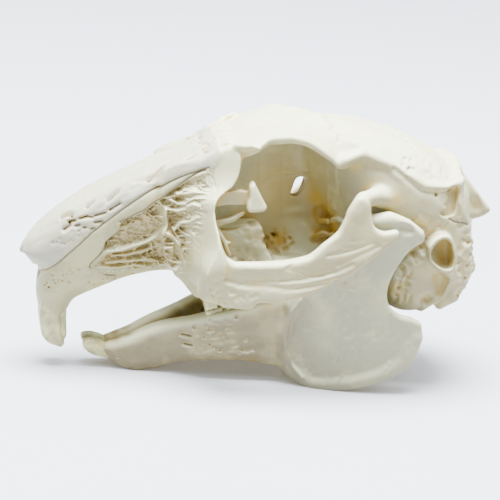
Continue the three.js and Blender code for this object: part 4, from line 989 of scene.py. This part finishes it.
fossa_ridge = limb((6.6, 10.2, 14.6, 0.8), (5.4, 10, 11.2, 0.8), (4.2, 9.4, 8, 0.8), (4.4, 9, 4.8, 0.8))
condyle_hollow = oval((21.8, 15.2, 25.2), (1.8, 1.4, 1.1), 20)

# The surface that the skull rests on rises towards the chin, until the whole skull is turned level
CONTACT_PITCH = math.atan2(CHIN_CONTACT[1] - ANGLE_CONTACT[1], ANGLE_CONTACT[0] - CHIN_CONTACT[0])
PITCH_COS = math.cos(CONTACT_PITCH)
PITCH_SIN = math.sin(CONTACT_PITCH)
RESTING_LIFT = -ANGLE_CONTACT[0] * PITCH_SIN - ANGLE_CONTACT[1] * PITCH_COS


def jaw_field(seed):
    """One half of the lower jaw. seed draws its roughness."""
    field = Field(JAW_LOW, JAW_HIGH, BONE_CELL)
    field.add(
        (jaw_body, 1), (ramus, 2), (ramus_front_edge, 1), (angle_edge, 1), (fossa_ridge, 1.2),
        (jaw_condyle, 0.8),
    )
    field.cut((condyle_hollow, 0.4))
    # The tones of the pores and slits paint shade into them.
    field.pit(JAW_PORES, 0.22, 0.45, low=3, tone=1.1)
    for slit in JAW_SLITS:
        field.engrave(slit, 0.24, 0.5, low=3, tone=1.1)
    field.engrave(FOSSA_EDGE, 0.3, -0.3, low=6)
    field.pepper(JAW_PORE_PATCH, 1.4, 0.2, 0.2, 6, low=3)
    field.scratch(JAW_PORE_PATCH, 1, 0.8, 0, 0.09, 0.3, 8, low=3)
    field.scratch(MASSETER_HOLLOW, 1.5, 1, 70, 0.1, 0.12, 9, low=7)
    field.pepper(FOSSA_PATCH, 0.8, 0.3, 0.16, 7, low=10)
    field.roughen(*SWELLS, seed)
    field.roughen(*JAW_GRAIN, seed + 1)
    x, y, z = np.meshgrid(*field.axes, indexing="ij", sparse=True)
    below = -(x * PITCH_SIN + z * PITCH_COS + RESTING_LIFT)
    field.values = np.maximum(field.values, below.astype(np.float32))
    field.values = np.maximum(field.values, (GAP / 2 - y).astype(np.float32))
    return field


# Meshes

BONE_TRIANGLES = 190000


def placed(points):
    """Points in the skull's own frame, in millimetres, turned level on their contacts and in metres."""
    x, y, z = np.asarray(points, float).T
    level_x = x * PITCH_COS - z * PITCH_SIN + CENTRING_SHIFT
    level_z = x * PITCH_SIN + z * PITCH_COS + RESTING_LIFT
    return np.stack([level_x, y, level_z], 1) * MM * BOX_FIT


def largest_island(points, quads):
    """Drops loose crumbs: keeps the connected surface with the most faces."""
    label = np.arange(len(points))
    while True:
        lowest = label.copy()
        np.minimum.at(lowest, quads.ravel(), np.repeat(label[quads].min(1), quads.shape[1]))
        lowest = lowest[lowest]
        if (lowest == label).all():
            break
        label = lowest
    quads = quads[label[quads[:, 0]] == np.bincount(label[quads[:, 0]]).argmax()]
    used, quads = np.unique(quads, return_inverse=True)
    return points[used], quads.reshape(-1, 4)


def mesh_of(name, points, faces):
    """A mesh with faces that all have the same number of corners."""
    faces = np.asarray(faces, np.int32)
    mesh = bpy.data.meshes.new(name)
    mesh.vertices.add(len(points))
    mesh.vertices.foreach_set("co", np.asarray(points, np.float32).ravel())
    mesh.loops.add(faces.size)
    mesh.loops.foreach_set("vertex_index", faces.ravel())
    mesh.polygons.add(len(faces))
    mesh.polygons.foreach_set("loop_start", np.arange(len(faces), dtype=np.int32) * faces.shape[1])
    mesh.update(calc_edges=True)
    mesh.shade_smooth()
    return mesh


def thinned(mesh, triangles):
    """The same surface with at most so many triangles, fewest where it is flat."""
    count = sum(len(polygon.vertices) - 2 for polygon in mesh.polygons)
    if count <= triangles:
        return mesh
    holder = bpy.data.objects.new("holder", mesh)
    bpy.context.collection.objects.link(holder)
    modifier = holder.modifiers.new("thin", "DECIMATE")
    modifier.ratio = triangles / count
    thin = bpy.data.meshes.new_from_object(holder.evaluated_get(bpy.context.evaluated_depsgraph_get()))
    bpy.data.objects.remove(holder)
    thin.shade_smooth()
    return thin


def vertex_places(mesh):
    """The places and normals of a mesh's points."""
    places = np.empty(len(mesh.vertices) * 3, np.float32)
    normals = np.empty(len(mesh.vertices) * 3, np.float32)
    mesh.vertices.foreach_get("co", places)
    mesh.vertices.foreach_get("normal", normals)
    return places.reshape(-1, 3).astype(float), normals.reshape(-1, 3).astype(float)


def set_attribute(mesh, name, values):
    mesh.attributes.new(name, "FLOAT", "POINT").data.foreach_set("value", np.asarray(values, np.float32))


def piece(name, mesh, material, body, slot, *replaced):
    """Adds a mesh in the skull's own frame as a piece of the skull."""
    places, normals = vertex_places(mesh)
    mesh.vertices.foreach_set("co", placed(places).astype(np.float32).ravel())
    mesh.update()
    made = bpy.data.objects.new(name, mesh)
    bpy.context.collection.objects.link(made)
    mesh.materials.append(material)
    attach(made, body)
    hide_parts(*replaced)


# How far out from a point the field is read, in millimetres, and the weight of what it says there
HOLLOW_PROBES = ((0.7, 0.35), (1.8, 0.35), (3.6, 0.3))


def hollowness(field, places, normals):
    """How closed in each point is, from 0 in the open to 1 in a deep recess."""
    open_share = 0
    for reach, weight in HOLLOW_PROBES:
        clear = field.sample(places + normals * reach, field.values) / reach
        open_share = open_share + weight * np.clip(clear, 0, 1)
    return 1 - open_share


def spots(places, *centres):
    """A soft mask that is 1 at centres given as (x, y, z, radius)."""
    mask = np.zeros(len(places))
    for x, y, z, radius in centres:
        off = (places - [x, y, z]) / radius
        mask = np.maximum(mask, np.exp(-(off**2).sum(1)))
    return mask


# Teeth, on the side y > 0


def loft(rings):
    """Points and faces of a tube of rings, closed at both ends by a fan of four-sided faces."""
    rings = np.array(rings, float)
    count, sides = rings.shape[:2]
    faces = []
    for ring in range(count - 1):
        for side in range(sides):
            here, following = ring * sides + side, ring * sides + (side + 1) % sides
            faces.append((here, following, following + sides, here + sides))
    for end, order in ((0, -1), (count - 1, 1)):
        start = end * sides
        for side in range(1, sides - 2, 2):
            fan = (start, start + side, start + side + 1, start + side + 2)
            faces.append(fan[::order])
    points = rings.reshape(-1, 3)
    return points, facing_out(points, np.array(faces))


def facing_out(points, faces):
    a, b, c, d = (points[faces[:, i]] for i in range(4))
    volume = (a * np.cross(b, c)).sum() + (a * np.cross(c, d)).sum()
    return faces if volume > 0 else faces[:, ::-1]


def mirrored(points, faces):
    return points * [1, -1, 1], faces[:, ::-1]


FRONT_TOOTH_SIDES = 32
FRONT_TOOTH_RINGS = 30
GROOVE_PLACE = -0.25
GROOVE_WIDTH = 0.2
FRONT_TEETH = {
    "upper_incisor": {
        "path": [
            (-31.5, 12.8, 1.4), (-31.7, 10.4, 1.7), (-31.6, 8.6, 1.7), (-31.5, 7.5, 1.65),
            (-31.1, 6.7, 1.45), (-30.5, 6, 1.05), (-30, 5.3, 0.5),
        ],
        "outwards": 1.6,
        "half_width": 1.2,
        "groove": 0.16,
    },
    "peg_tooth": {
        "path": [
            (-29.6, 12, 0.6), (-29.8, 9.6, 0.62), (-29.8, 8, 0.62), (-29.8, 7, 0.6), (-29.9, 6.4, 0.5),
            (-30, 5.9, 0.2),
        ],
        "outwards": 1.5,
        "half_width": 0.8,
        "groove": 0,
    },
    "lower_incisor": {
        "path": [
            (-20.4, 3.5, 1), (-23, 4, 1.15), (-24.4, 4.5, 1.3), (-25.5, 5, 1.15), (-26.3, 5.4, 0.75),
            (-26.7, 5.6, 0.25),
        ],
        "outwards": 1.62,
        "half_width": 1.15,
        "groove": 0,
    },
}


def front_tooth(path, outwards, half_width, groove):
    """A front tooth along (x, z, half depth), with a groove down its front."""
    knots = range(len(path))
    x_line, z_line, depth_line = (profile(*[(k, path[k][i]) for k in knots]) for i in range(3))
    angle = (np.arange(FRONT_TOOTH_SIDES) + 0.5) / FRONT_TOOTH_SIDES * 2 * np.pi
    squared = (np.abs(np.cos(angle)) ** 3 + np.abs(np.sin(angle)) ** 3) ** (-1 / 3)
    step = 0.05
    rings = []
    for t in np.linspace(0, len(path) - 1, FRONT_TOOTH_RINGS):
        run = np.array([x_line(t + step) - x_line(t - step), z_line(t + step) - z_line(t - step)])
        run /= np.linalg.norm(run)
        deep = np.cos(angle) * squared * depth_line(t)
        wide = np.sin(angle) * squared * half_width
        front = np.sign(run[1]) * deep < 0
        off = (wide / half_width - GROOVE_PLACE) / GROOVE_WIDTH
        dent = groove * np.exp(-(off**2)) * np.where(front, 1, 0)
        deep = deep + np.sign(run[1]) * dent * depth_line(t)
        rings.append(np.stack([x_line(t) - run[1] * deep, outwards + wide, z_line(t) + run[0] * deep], 1))
    return loft(rings)


ROW_PITCH = math.radians(12.3)
CROWN_HEIGHT = 1.45
SOCKET_DEPTH = 2.4
CHEEK_TOOTH_SIDES = 28
FOLD_DEPTH = 0.16
FOLD_WIDTH = 0.28
UPPER_ROW = {
    "start": (-8.3, 12.85),
    "outwards": 6.6,
    "sizes": [
        (2.2, 2.9, -0.6), (2.5, 3.9, 0), (2.6, 4.2, 0.1), (2.6, 4.1, 0), (2.2, 3.7, -0.2), (1, 2, -0.8),
    ],
    "towards_crown": -1,
}
LOWER_ROW = {
    "start": (-7.6, 9.75),
    "outwards": 5.5,
    "sizes": [(2.9, 2.9, -0.1), (2.7, 3.1, 0), (2.7, 3.1, 0.1), (2.6, 3, 0.1), (1.8, 2, -0.1)],
    "towards_crown": 1,
}
# Height below the crown's top, and scale, of the rings of a cheek tooth from its root to its biting face
CHEEK_TOOTH_RINGS = [
    (CROWN_HEIGHT + SOCKET_DEPTH - GAP, 0.9), (1.2, 0.97), (0.5, 1), (0.15, 0.98), (0, 0.9), (0.04, 0.8),
    (0.3, 0.7), (0.34, 0.4), (0.3, 0.1),
]


def cheek_teeth(start, outwards, sizes, towards_crown):
    """A row of cheek teeth: sizes are (length along the row, width across it, shift outwards)."""
    angle = (np.arange(CHEEK_TOOTH_SIDES) + 0.5) / CHEEK_TOOTH_SIDES * 2 * np.pi
    fold = 1 - FOLD_DEPTH * np.exp(-((np.cos(angle) / FOLD_WIDTH) ** 2))
    along_ring = np.sign(np.cos(angle)) * np.sqrt(np.abs(np.cos(angle)))
    across_ring = np.sign(np.sin(angle)) * np.sqrt(np.abs(np.sin(angle))) * fold
    teeth = []
    along = 0
    for length, width, shift in sizes:
        rings = []
        for below_top, scale in CHEEK_TOOTH_RINGS:
            forward = along + length / 2 + along_ring * length / 2 * scale
            lift = (CROWN_HEIGHT - below_top) * towards_crown
            rings.append(np.stack([
                start[0] + forward * math.cos(ROW_PITCH) - lift * math.sin(ROW_PITCH),
                outwards + shift + across_ring * width / 2 * scale,
                start[1] + forward * math.sin(ROW_PITCH) + lift * math.cos(ROW_PITCH),
            ], 1))
        teeth.append(loft(rings))
        along += length + GAP
    return teeth


# Materials


def node(tree, kind, inputs=(), **settings):
    """A shader node, its settings, and its inputs as values or as the sockets that feed them."""
    made = tree.nodes.new(kind)
    for name, value in settings.items():
        setattr(made, name, value)
    for key, value in dict(inputs).items():
        if isinstance(value, bpy.types.NodeSocket):
            tree.links.new(value, made.inputs[key])
        else:
            made.inputs[key].default_value = value
    return made


def calculate(tree, operation, first, second):
    return node(tree, "ShaderNodeMath", {0: first, 1: second}, operation=operation).outputs[0]


def laid_over(tree, colour, share, other, weight=1):
    """A colour with another one over it, by share times weight."""
    if weight != 1:
        share = calculate(tree, "MULTIPLY", share, weight)
    inputs = {0: share, 6: colour, 7: other}
    return node(tree, "ShaderNodeMix", inputs, data_type="RGBA").outputs[2]


def ramp(tree, value, low, high):
    """Runs from 0 at low to 1 at high."""
    inputs = {"Value": value, "From Min": low, "From Max": high}
    return node(tree, "ShaderNodeMapRange", inputs, interpolation_type="SMOOTHSTEP").outputs[0]


def attribute(tree, name):
    return node(tree, "ShaderNodeAttribute", attribute_name=name).outputs["Fac"]


def noise(tree, place, size_mm, detail=3.0, roughness=0.55):
    """Noise with features of about so many millimetres."""
    inputs = {"Vector": place, "Scale": 1 / (size_mm * MM), "Detail": detail, "Roughness": roughness}
    return node(tree, "ShaderNodeTexNoise", inputs).outputs["Fac"]


# Colours of the bleached bone, yellower on its sides. Faces that look up are mixed towards a much lighter,
# chalky colour: painted light from above. Hollows are mixed towards tan: painted shade.
PAINTED_TOP_LIGHT_IVORY = (0.75, 0.76, 0.52, 1)
SIDE_IVORY = (0.27, 0.25, 0.118, 1)
REAR_IVORY = (0.24, 0.205, 0.09, 1)
# The jaw runs from a darker front to a lighter rear: painted shade below the cheek arch.
SHADED_JAW_IVORY = (0.17, 0.133, 0.058, 1)
ANGLE_IVORY = (0.26, 0.25, 0.15, 1)
NASAL_IVORY = (0.33, 0.32, 0.295, 1)
CREAM = (0.54, 0.50, 0.23, 1)
HOLLOW_SHADE_TAN = (0.49, 0.33, 0.068, 1)
MARROW_AND_SHADE_TAN = (0.38, 0.305, 0.135, 1)
PIT_SHADE_BROWN = (0.09, 0.075, 0.035, 1)
SEAM_BROWN = (0.09, 0.065, 0.02, 1)
GOLD = (0.42, 0.25, 0.012, 1)
# Olive for the jaw's stains and for the painted shade on its inner side.
OLIVE_STAIN_AND_SHADE = (0.22, 0.155, 0.014, 1)
FLOOR_SHADE = (0.59, 0.625, 0.72, 1)
FLOOR_TINT = (0.605, 0.64, 0.735, 1)
SEAM_HALF_WIDTH = 0.135
REAR_START = 10
BONE_SETTINGS = {
    "Roughness": 0.48,
    "Subsurface Weight": 0.25,
    "Subsurface Radius": (1, 0.88, 0.7),
    "Subsurface Scale": 0.5 * MM,
}
TOOTH_SETTINGS = {
    "Roughness": 0.28,
    "Subsurface Weight": 0.3,
    "Subsurface Radius": (1, 0.8, 0.6),
    "Subsurface Scale": 0.6 * MM,
}
# The floor's faint warm glow is painted light: it lifts the shadows under the skull.
FLOOR_SETTINGS_WITH_GLOW = {"Roughness": 0.6, "Emission Color": (1, 0.92, 0.75, 1), "Emission Strength": 0.2}


def new_material(name):
    """A material, its node tree, and the place on the object in metres."""
    material = bpy.data.materials.new(name)
    material.use_nodes = True
    tree = material.node_tree
    return material, tree, node(tree, "ShaderNodeTexCoord").outputs["Object"]


def finish_shader(tree, colour, settings, grain=None, strength=0, height_mm=0):
    """Gives the shader its colour and settings, and bumps from a grain of a given height."""
    shader = tree.nodes["Principled BSDF"]
    tree.links.new(colour, shader.inputs["Base Color"])
    for key, value in settings.items():
        shader.inputs[key].default_value = value
    if grain is not None:
        inputs = {"Height": grain, "Strength": strength, "Distance": height_mm * MM}
        bump = node(tree, "ShaderNodeBump", inputs)
        tree.links.new(bump.outputs["Normal"], shader.inputs["Normal"])


def bone_material(name, front_colour, rear_colour, stain_and_shade_colour, seams=()):
    """Bleached bone. Its sides run from one colour at x = 0 to the other at x = REAR_START.

    seams are attributes with the distance in millimetres to a dark line.
    """
    material, tree, place = new_material(name)
    along = node(tree, "ShaderNodeSeparateXYZ", {0: place}).outputs["X"]
    normal = node(tree, "ShaderNodeNewGeometry").outputs["Normal"]
    upward = node(tree, "ShaderNodeSeparateXYZ", {0: normal}).outputs["Z"]
    tone = attribute(tree, "tone")
    nasal = attribute(tree, "nasal")
    colour = laid_over(tree, front_colour, ramp(tree, along, 0, REAR_START * MM), rear_colour)
    # Faces that look up are mixed towards a much lighter colour: painted light from above.
    colour = laid_over(tree, colour, ramp(tree, upward, -0.1, 0.85), PAINTED_TOP_LIGHT_IVORY)
    colour = laid_over(tree, colour, nasal, NASAL_IVORY, weight=0.5)
    patches = ramp(tree, noise(tree, place, 6, detail=4), 0.48, 0.68)
    colour = laid_over(tree, colour, patches, CREAM, weight=0.28)
    flecks = ramp(tree, noise(tree, place, 1.1, detail=5, roughness=0.7), 0.56, 0.74)
    colour = laid_over(tree, colour, flecks, MARROW_AND_SHADE_TAN, weight=0.3)
    # Closed-in places turn tan: painted shade in hollows.
    painted_hollow_shade = ramp(tree, attribute(tree, "painted_hollow_shade"), 0.15, 0.75)
    colour = laid_over(tree, colour, painted_hollow_shade, HOLLOW_SHADE_TAN, weight=0.8)
    # Tan where the tone is low, outside the nasal bones: the tan of spongy bone, and painted shade in pits,
    # grooves and recesses.
    marrow_and_shade = calculate(tree, "MULTIPLY", ramp(tree, nasal, 1.4, 0), ramp(tree, tone, 0.03, 0.5))
    colour = laid_over(tree, colour, marrow_and_shade, MARROW_AND_SHADE_TAN)
    # Dark brown where the tone is high: painted shade in pits, cracks and deep grooves.
    colour = laid_over(tree, colour, ramp(tree, tone, 0.4, 0.95), PIT_SHADE_BROWN)
    for seam in seams:
        off = calculate(tree, "ABSOLUTE", attribute(tree, seam), 0)
        line = ramp(tree, off, 1.5 * SEAM_HALF_WIDTH, 0.5 * SEAM_HALF_WIDTH)
        colour = laid_over(tree, colour, line, SEAM_BROWN, weight=0.9)
    # Stains, and on the jaw also painted shade on its inner side.
    colour = laid_over(tree, colour, attribute(tree, "stain_and_shade"), stain_and_shade_colour)
    stretched = node(tree, "ShaderNodeMapping", {"Vector": place, "Scale": (0.18, 1, 1)}).outputs["Vector"]
    streaks = noise(tree, stretched, 0.5, detail=4)
    grain = calculate(tree, "ADD", noise(tree, place, 0.45, detail=4), streaks)
    finish_shader(tree, colour, BONE_SETTINGS, grain, strength=0.4, height_mm=0.07)
    return material


def tooth_material():
    material, tree, place = new_material("tooth_enamel")
    colour = laid_over(tree, SIDE_IVORY, ramp(tree, noise(tree, place, 1.5), 0.3, 0.75), CREAM)
    finish_shader(tree, colour, TOOTH_SETTINGS, noise(tree, place, 0.3), strength=0.2, height_mm=0.05)
    return material


def floor_material():
    material, tree, place = new_material("pale_floor")
    colour = laid_over(tree, FLOOR_SHADE, ramp(tree, noise(tree, place, 60), 0.3, 0.7), FLOOR_TINT)
    finish_shader(tree, colour, FLOOR_SETTINGS_WITH_GLOW)
    return material


# The skull

SEAMS = {
    "nasal_seam": NASAL_SEAM,
    "strip_seam": STRIP_SEAM,
    "maxilla_seam": MAXILLA_SEAM,
    "rear_seam": REAR_SEAM,
}
SEAM_NEAREST_Y = 1.2
FAR_FROM_SEAMS = 9.0
NASAL_EDGE = 0.4

cranium_bone = bone_material("cranium_bone", SIDE_IVORY, REAR_IVORY, GOLD, SEAMS)
network_bone = bone_material("network_bone", SIDE_IVORY, REAR_IVORY, GOLD)
# Its darker front is painted shade below the cheek arch.
jaw_bone = bone_material("jaw_bone", SHADED_JAW_IVORY, ANGLE_IVORY, OLIVE_STAIN_AND_SHADE)
enamel = tooth_material()

# Stains as (x, distance from the middle, z, radius). The jaw's spots at x = -8.2 and x = -11.4 are painted
# shade on the jaw's inner side.
CRANIUM_STAINS = [
    (9.6, 2.8, 27.4, 1.7), (11, 3.4, 25.2, 2.4), (12.4, 4.4, 23.2, 1.9), (10.4, 3, 22.2, 1.6),
    (4, 2.2, 21, 1.9), (-7, 8.4, 28.4, 1.6),
]
JAW_STAINS_AND_SHADE = [
    (-23.2, 1.2, 5.5, 1.4), (-21.6, 1.5, 6.1, 1.5), (-20, 1.7, 6.9, 1.2), (-24.2, 2.6, 3.7, 0.8),
    (-8.2, 2.8, 8.6, 2.8), (-11.4, 2.2, 7.6, 2), (-1, 8, 3, 1),
]
# Places given the painted shade of hollows, with this hollowness
CRANIUM_SHADE_SPOTS = [
    (4, 4, 29, 10), (-36, 1.6, 20, 0.8), (-35.2, 2.2, 19.2, 0.7), (-34.4, 2.6, 18.4, 0.8),
    (24.8, 11.6, 25.4, 2.2), (24.4, 11, 22, 1.8), (20.6, 12, 29.6, 2), (21.4, 10.4, 15, 1.8),
    (28, 11, 20, 1.5), (29.4, 11.6, 27.6, 1.2), (35, 4, 26, 1.2), (-1, 16, 18.2, 1.6),
]
JAW_SHADE_SPOTS = [(2, 7, 12.6, 3), (-6, 3, 9.6, 3)]
SHADE_SPOT_HOLLOWNESS = 0.57


def add_bone(name, field, flip, slot, replaced, material, stains_and_shade=(), shade_spots=(), seams=()):
    """Adds a bone from its field. flip mirrors a field of the side y > 0 to the other side."""
    points, quads = largest_island(*field.surface())
    mesh = thinned(mesh_of(name, points, quads), BONE_TRIANGLES)
    places, normals = vertex_places(mesh)
    beside = np.abs(places[:, 1])
    half_places = np.stack([places[:, 0], beside, places[:, 2]], 1)
    # Spots of painted shade, added to the hollows' shade.
    spot_shade = SHADE_SPOT_HOLLOWNESS * spots(half_places, *shade_spots)
    # How closed in each point is, raised in the shade spots, drives the painted shade of hollows.
    set_attribute(mesh, "painted_hollow_shade", np.maximum(hollowness(field, places, normals), spot_shade))
    set_attribute(mesh, "tone", field.sample(places, field.tone))
    set_attribute(mesh, "stain_and_shade", spots(half_places, *stains_and_shade))
    if seams:
        inside = -outline_distance(NASAL_REGION, places[:, 0], places[:, 2])
        set_attribute(mesh, "nasal", np.clip(inside / NASAL_EDGE, 0, 1))
    for seam in seams:
        off = signed_path_distance(places[:, 0], places[:, 2], SEAMS[seam])
        set_attribute(mesh, seam, np.where(beside > SEAM_NEAREST_Y, off, FAR_FROM_SEAMS))
    if flip:
        mesh.vertices.foreach_set("co", (places * [1, -1, 1]).astype(np.float32).ravel())
        mesh.flip_normals()
    piece(name, mesh, material, "root", slot, replaced)


cranium, cranium_side = cranium_field()
add_bone(
    "cranium_surface", cranium, False, "cranium_bone", "cranium", cranium_bone,
    CRANIUM_STAINS, CRANIUM_SHADE_SPOTS, SEAMS,
)
for side, flip in (("right", False), ("left", True)):
    jaw = jaw_field(31 if flip else 21)
    add_bone(
        f"{side}_dentary_surface", jaw, flip, "jaw_bone", f"{side}_dentary", jaw_bone,
        JAW_STAINS_AND_SHADE, JAW_SHADE_SPOTS,
    )
    network = network_field(cranium_side, cranium.axes[0], cranium.axes[2])
    add_bone(f"{side}_snout_network", network, flip, "cranium_bone", "cranium", network_bone)

for side in ("right", "left"):
    teeth = {name: front_tooth(**shape) for name, shape in FRONT_TEETH.items()}
    for row_name, row in (("upper_cheek_tooth", UPPER_ROW), ("lower_cheek_tooth", LOWER_ROW)):
        for number, tooth in enumerate(cheek_teeth(**row), 1):
            teeth[f"{row_name}_{number}"] = tooth
    for name, (points, faces) in teeth.items():
        if side == "left":
            points, faces = mirrored(points, faces)
        slot = "cheek_tooth" if "cheek" in name else "front_tooth"
        mesh = mesh_of(f"{side}_{name}_enamel", points, faces)
        piece(f"{side}_{name}_enamel", mesh, enamel, "root", slot, f"{side}_{name}")

# Floor, light and camera

FLOOR_HALF = 3.0
floor_corners = [(FLOOR_HALF * x, FLOOR_HALF * y, 0) for x, y in ((-1, -1), (1, -1), (1, 1), (-1, 1))]
floor = bpy.data.objects.new("floor", mesh_of("floor", floor_corners, [(0, 1, 2, 3)]))
floor.data.materials.append(floor_material())
bpy.context.collection.objects.link(floor)


def area_light(name, place, aim, size, power, colour):
    light = bpy.data.lights.new(name, "AREA")
    light.shape = "DISK"
    light.size = size
    light.energy = power
    light.color = colour
    lamp = bpy.data.objects.new(name, light)
    lamp.location = place
    lamp.rotation_euler = (Vector(aim) - Vector(place)).to_track_quat("-Z", "Y").to_euler()
    bpy.context.collection.objects.link(lamp)


LIGHT_AIM = (0, 0, 0.02)
area_light("overhead", (0, 0, 0.6), LIGHT_AIM, size=0.4, power=25, colour=(1, 1, 0.99))
area_light("canopy", (0, 0, 0.62), LIGHT_AIM, size=1.5, power=20, colour=(0.95, 0.98, 1))

world = bpy.data.worlds.new("studio")
bpy.context.scene.world = world
world.use_nodes = True
world.node_tree.nodes["Background"].inputs["Color"].default_value = (0.88, 0.94, 1, 1)
world.node_tree.nodes["Background"].inputs["Strength"].default_value = 0.02

# The camera stands in the skull's own frame: its turn about the skull, its height and its distance
CAMERA_TURN = math.radians(-8)
CAMERA_RISE = math.radians(16)
CAMERA_DISTANCE = 380
CAMERA_TARGET = np.array([0, 0, 18.9])
PHOTO_PIXELS = 500
PIXELS_PER_MM = 6.36
SENSOR_WIDTH = 36

right = np.array([math.cos(CAMERA_TURN), math.sin(CAMERA_TURN), 0])
forward = np.array([
    -math.sin(CAMERA_TURN) * math.cos(CAMERA_RISE),
    math.cos(CAMERA_TURN) * math.cos(CAMERA_RISE),
    -math.sin(CAMERA_RISE),
])
eye = CAMERA_TARGET - forward * CAMERA_DISTANCE
origin, eye_place, right_end, forward_end = placed([(0, 0, 0), eye, right, forward])
camera = bpy.data.objects.new("camera", bpy.data.cameras.new("camera"))
camera_x = Vector(right_end - origin).normalized()
camera_z = -Vector(forward_end - origin).normalized()
camera.matrix_world = Matrix.LocRotScale(
    Vector(eye_place), Matrix((camera_x, camera_z.cross(camera_x), camera_z)).transposed(), None,
)
camera.data.sensor_width = SENSOR_WIDTH
camera.data.lens = SENSOR_WIDTH * PIXELS_PER_MM * CAMERA_DISTANCE / PHOTO_PIXELS
camera.data.clip_end = 20
bpy.context.collection.objects.link(camera)
bpy.context.scene.camera = camera
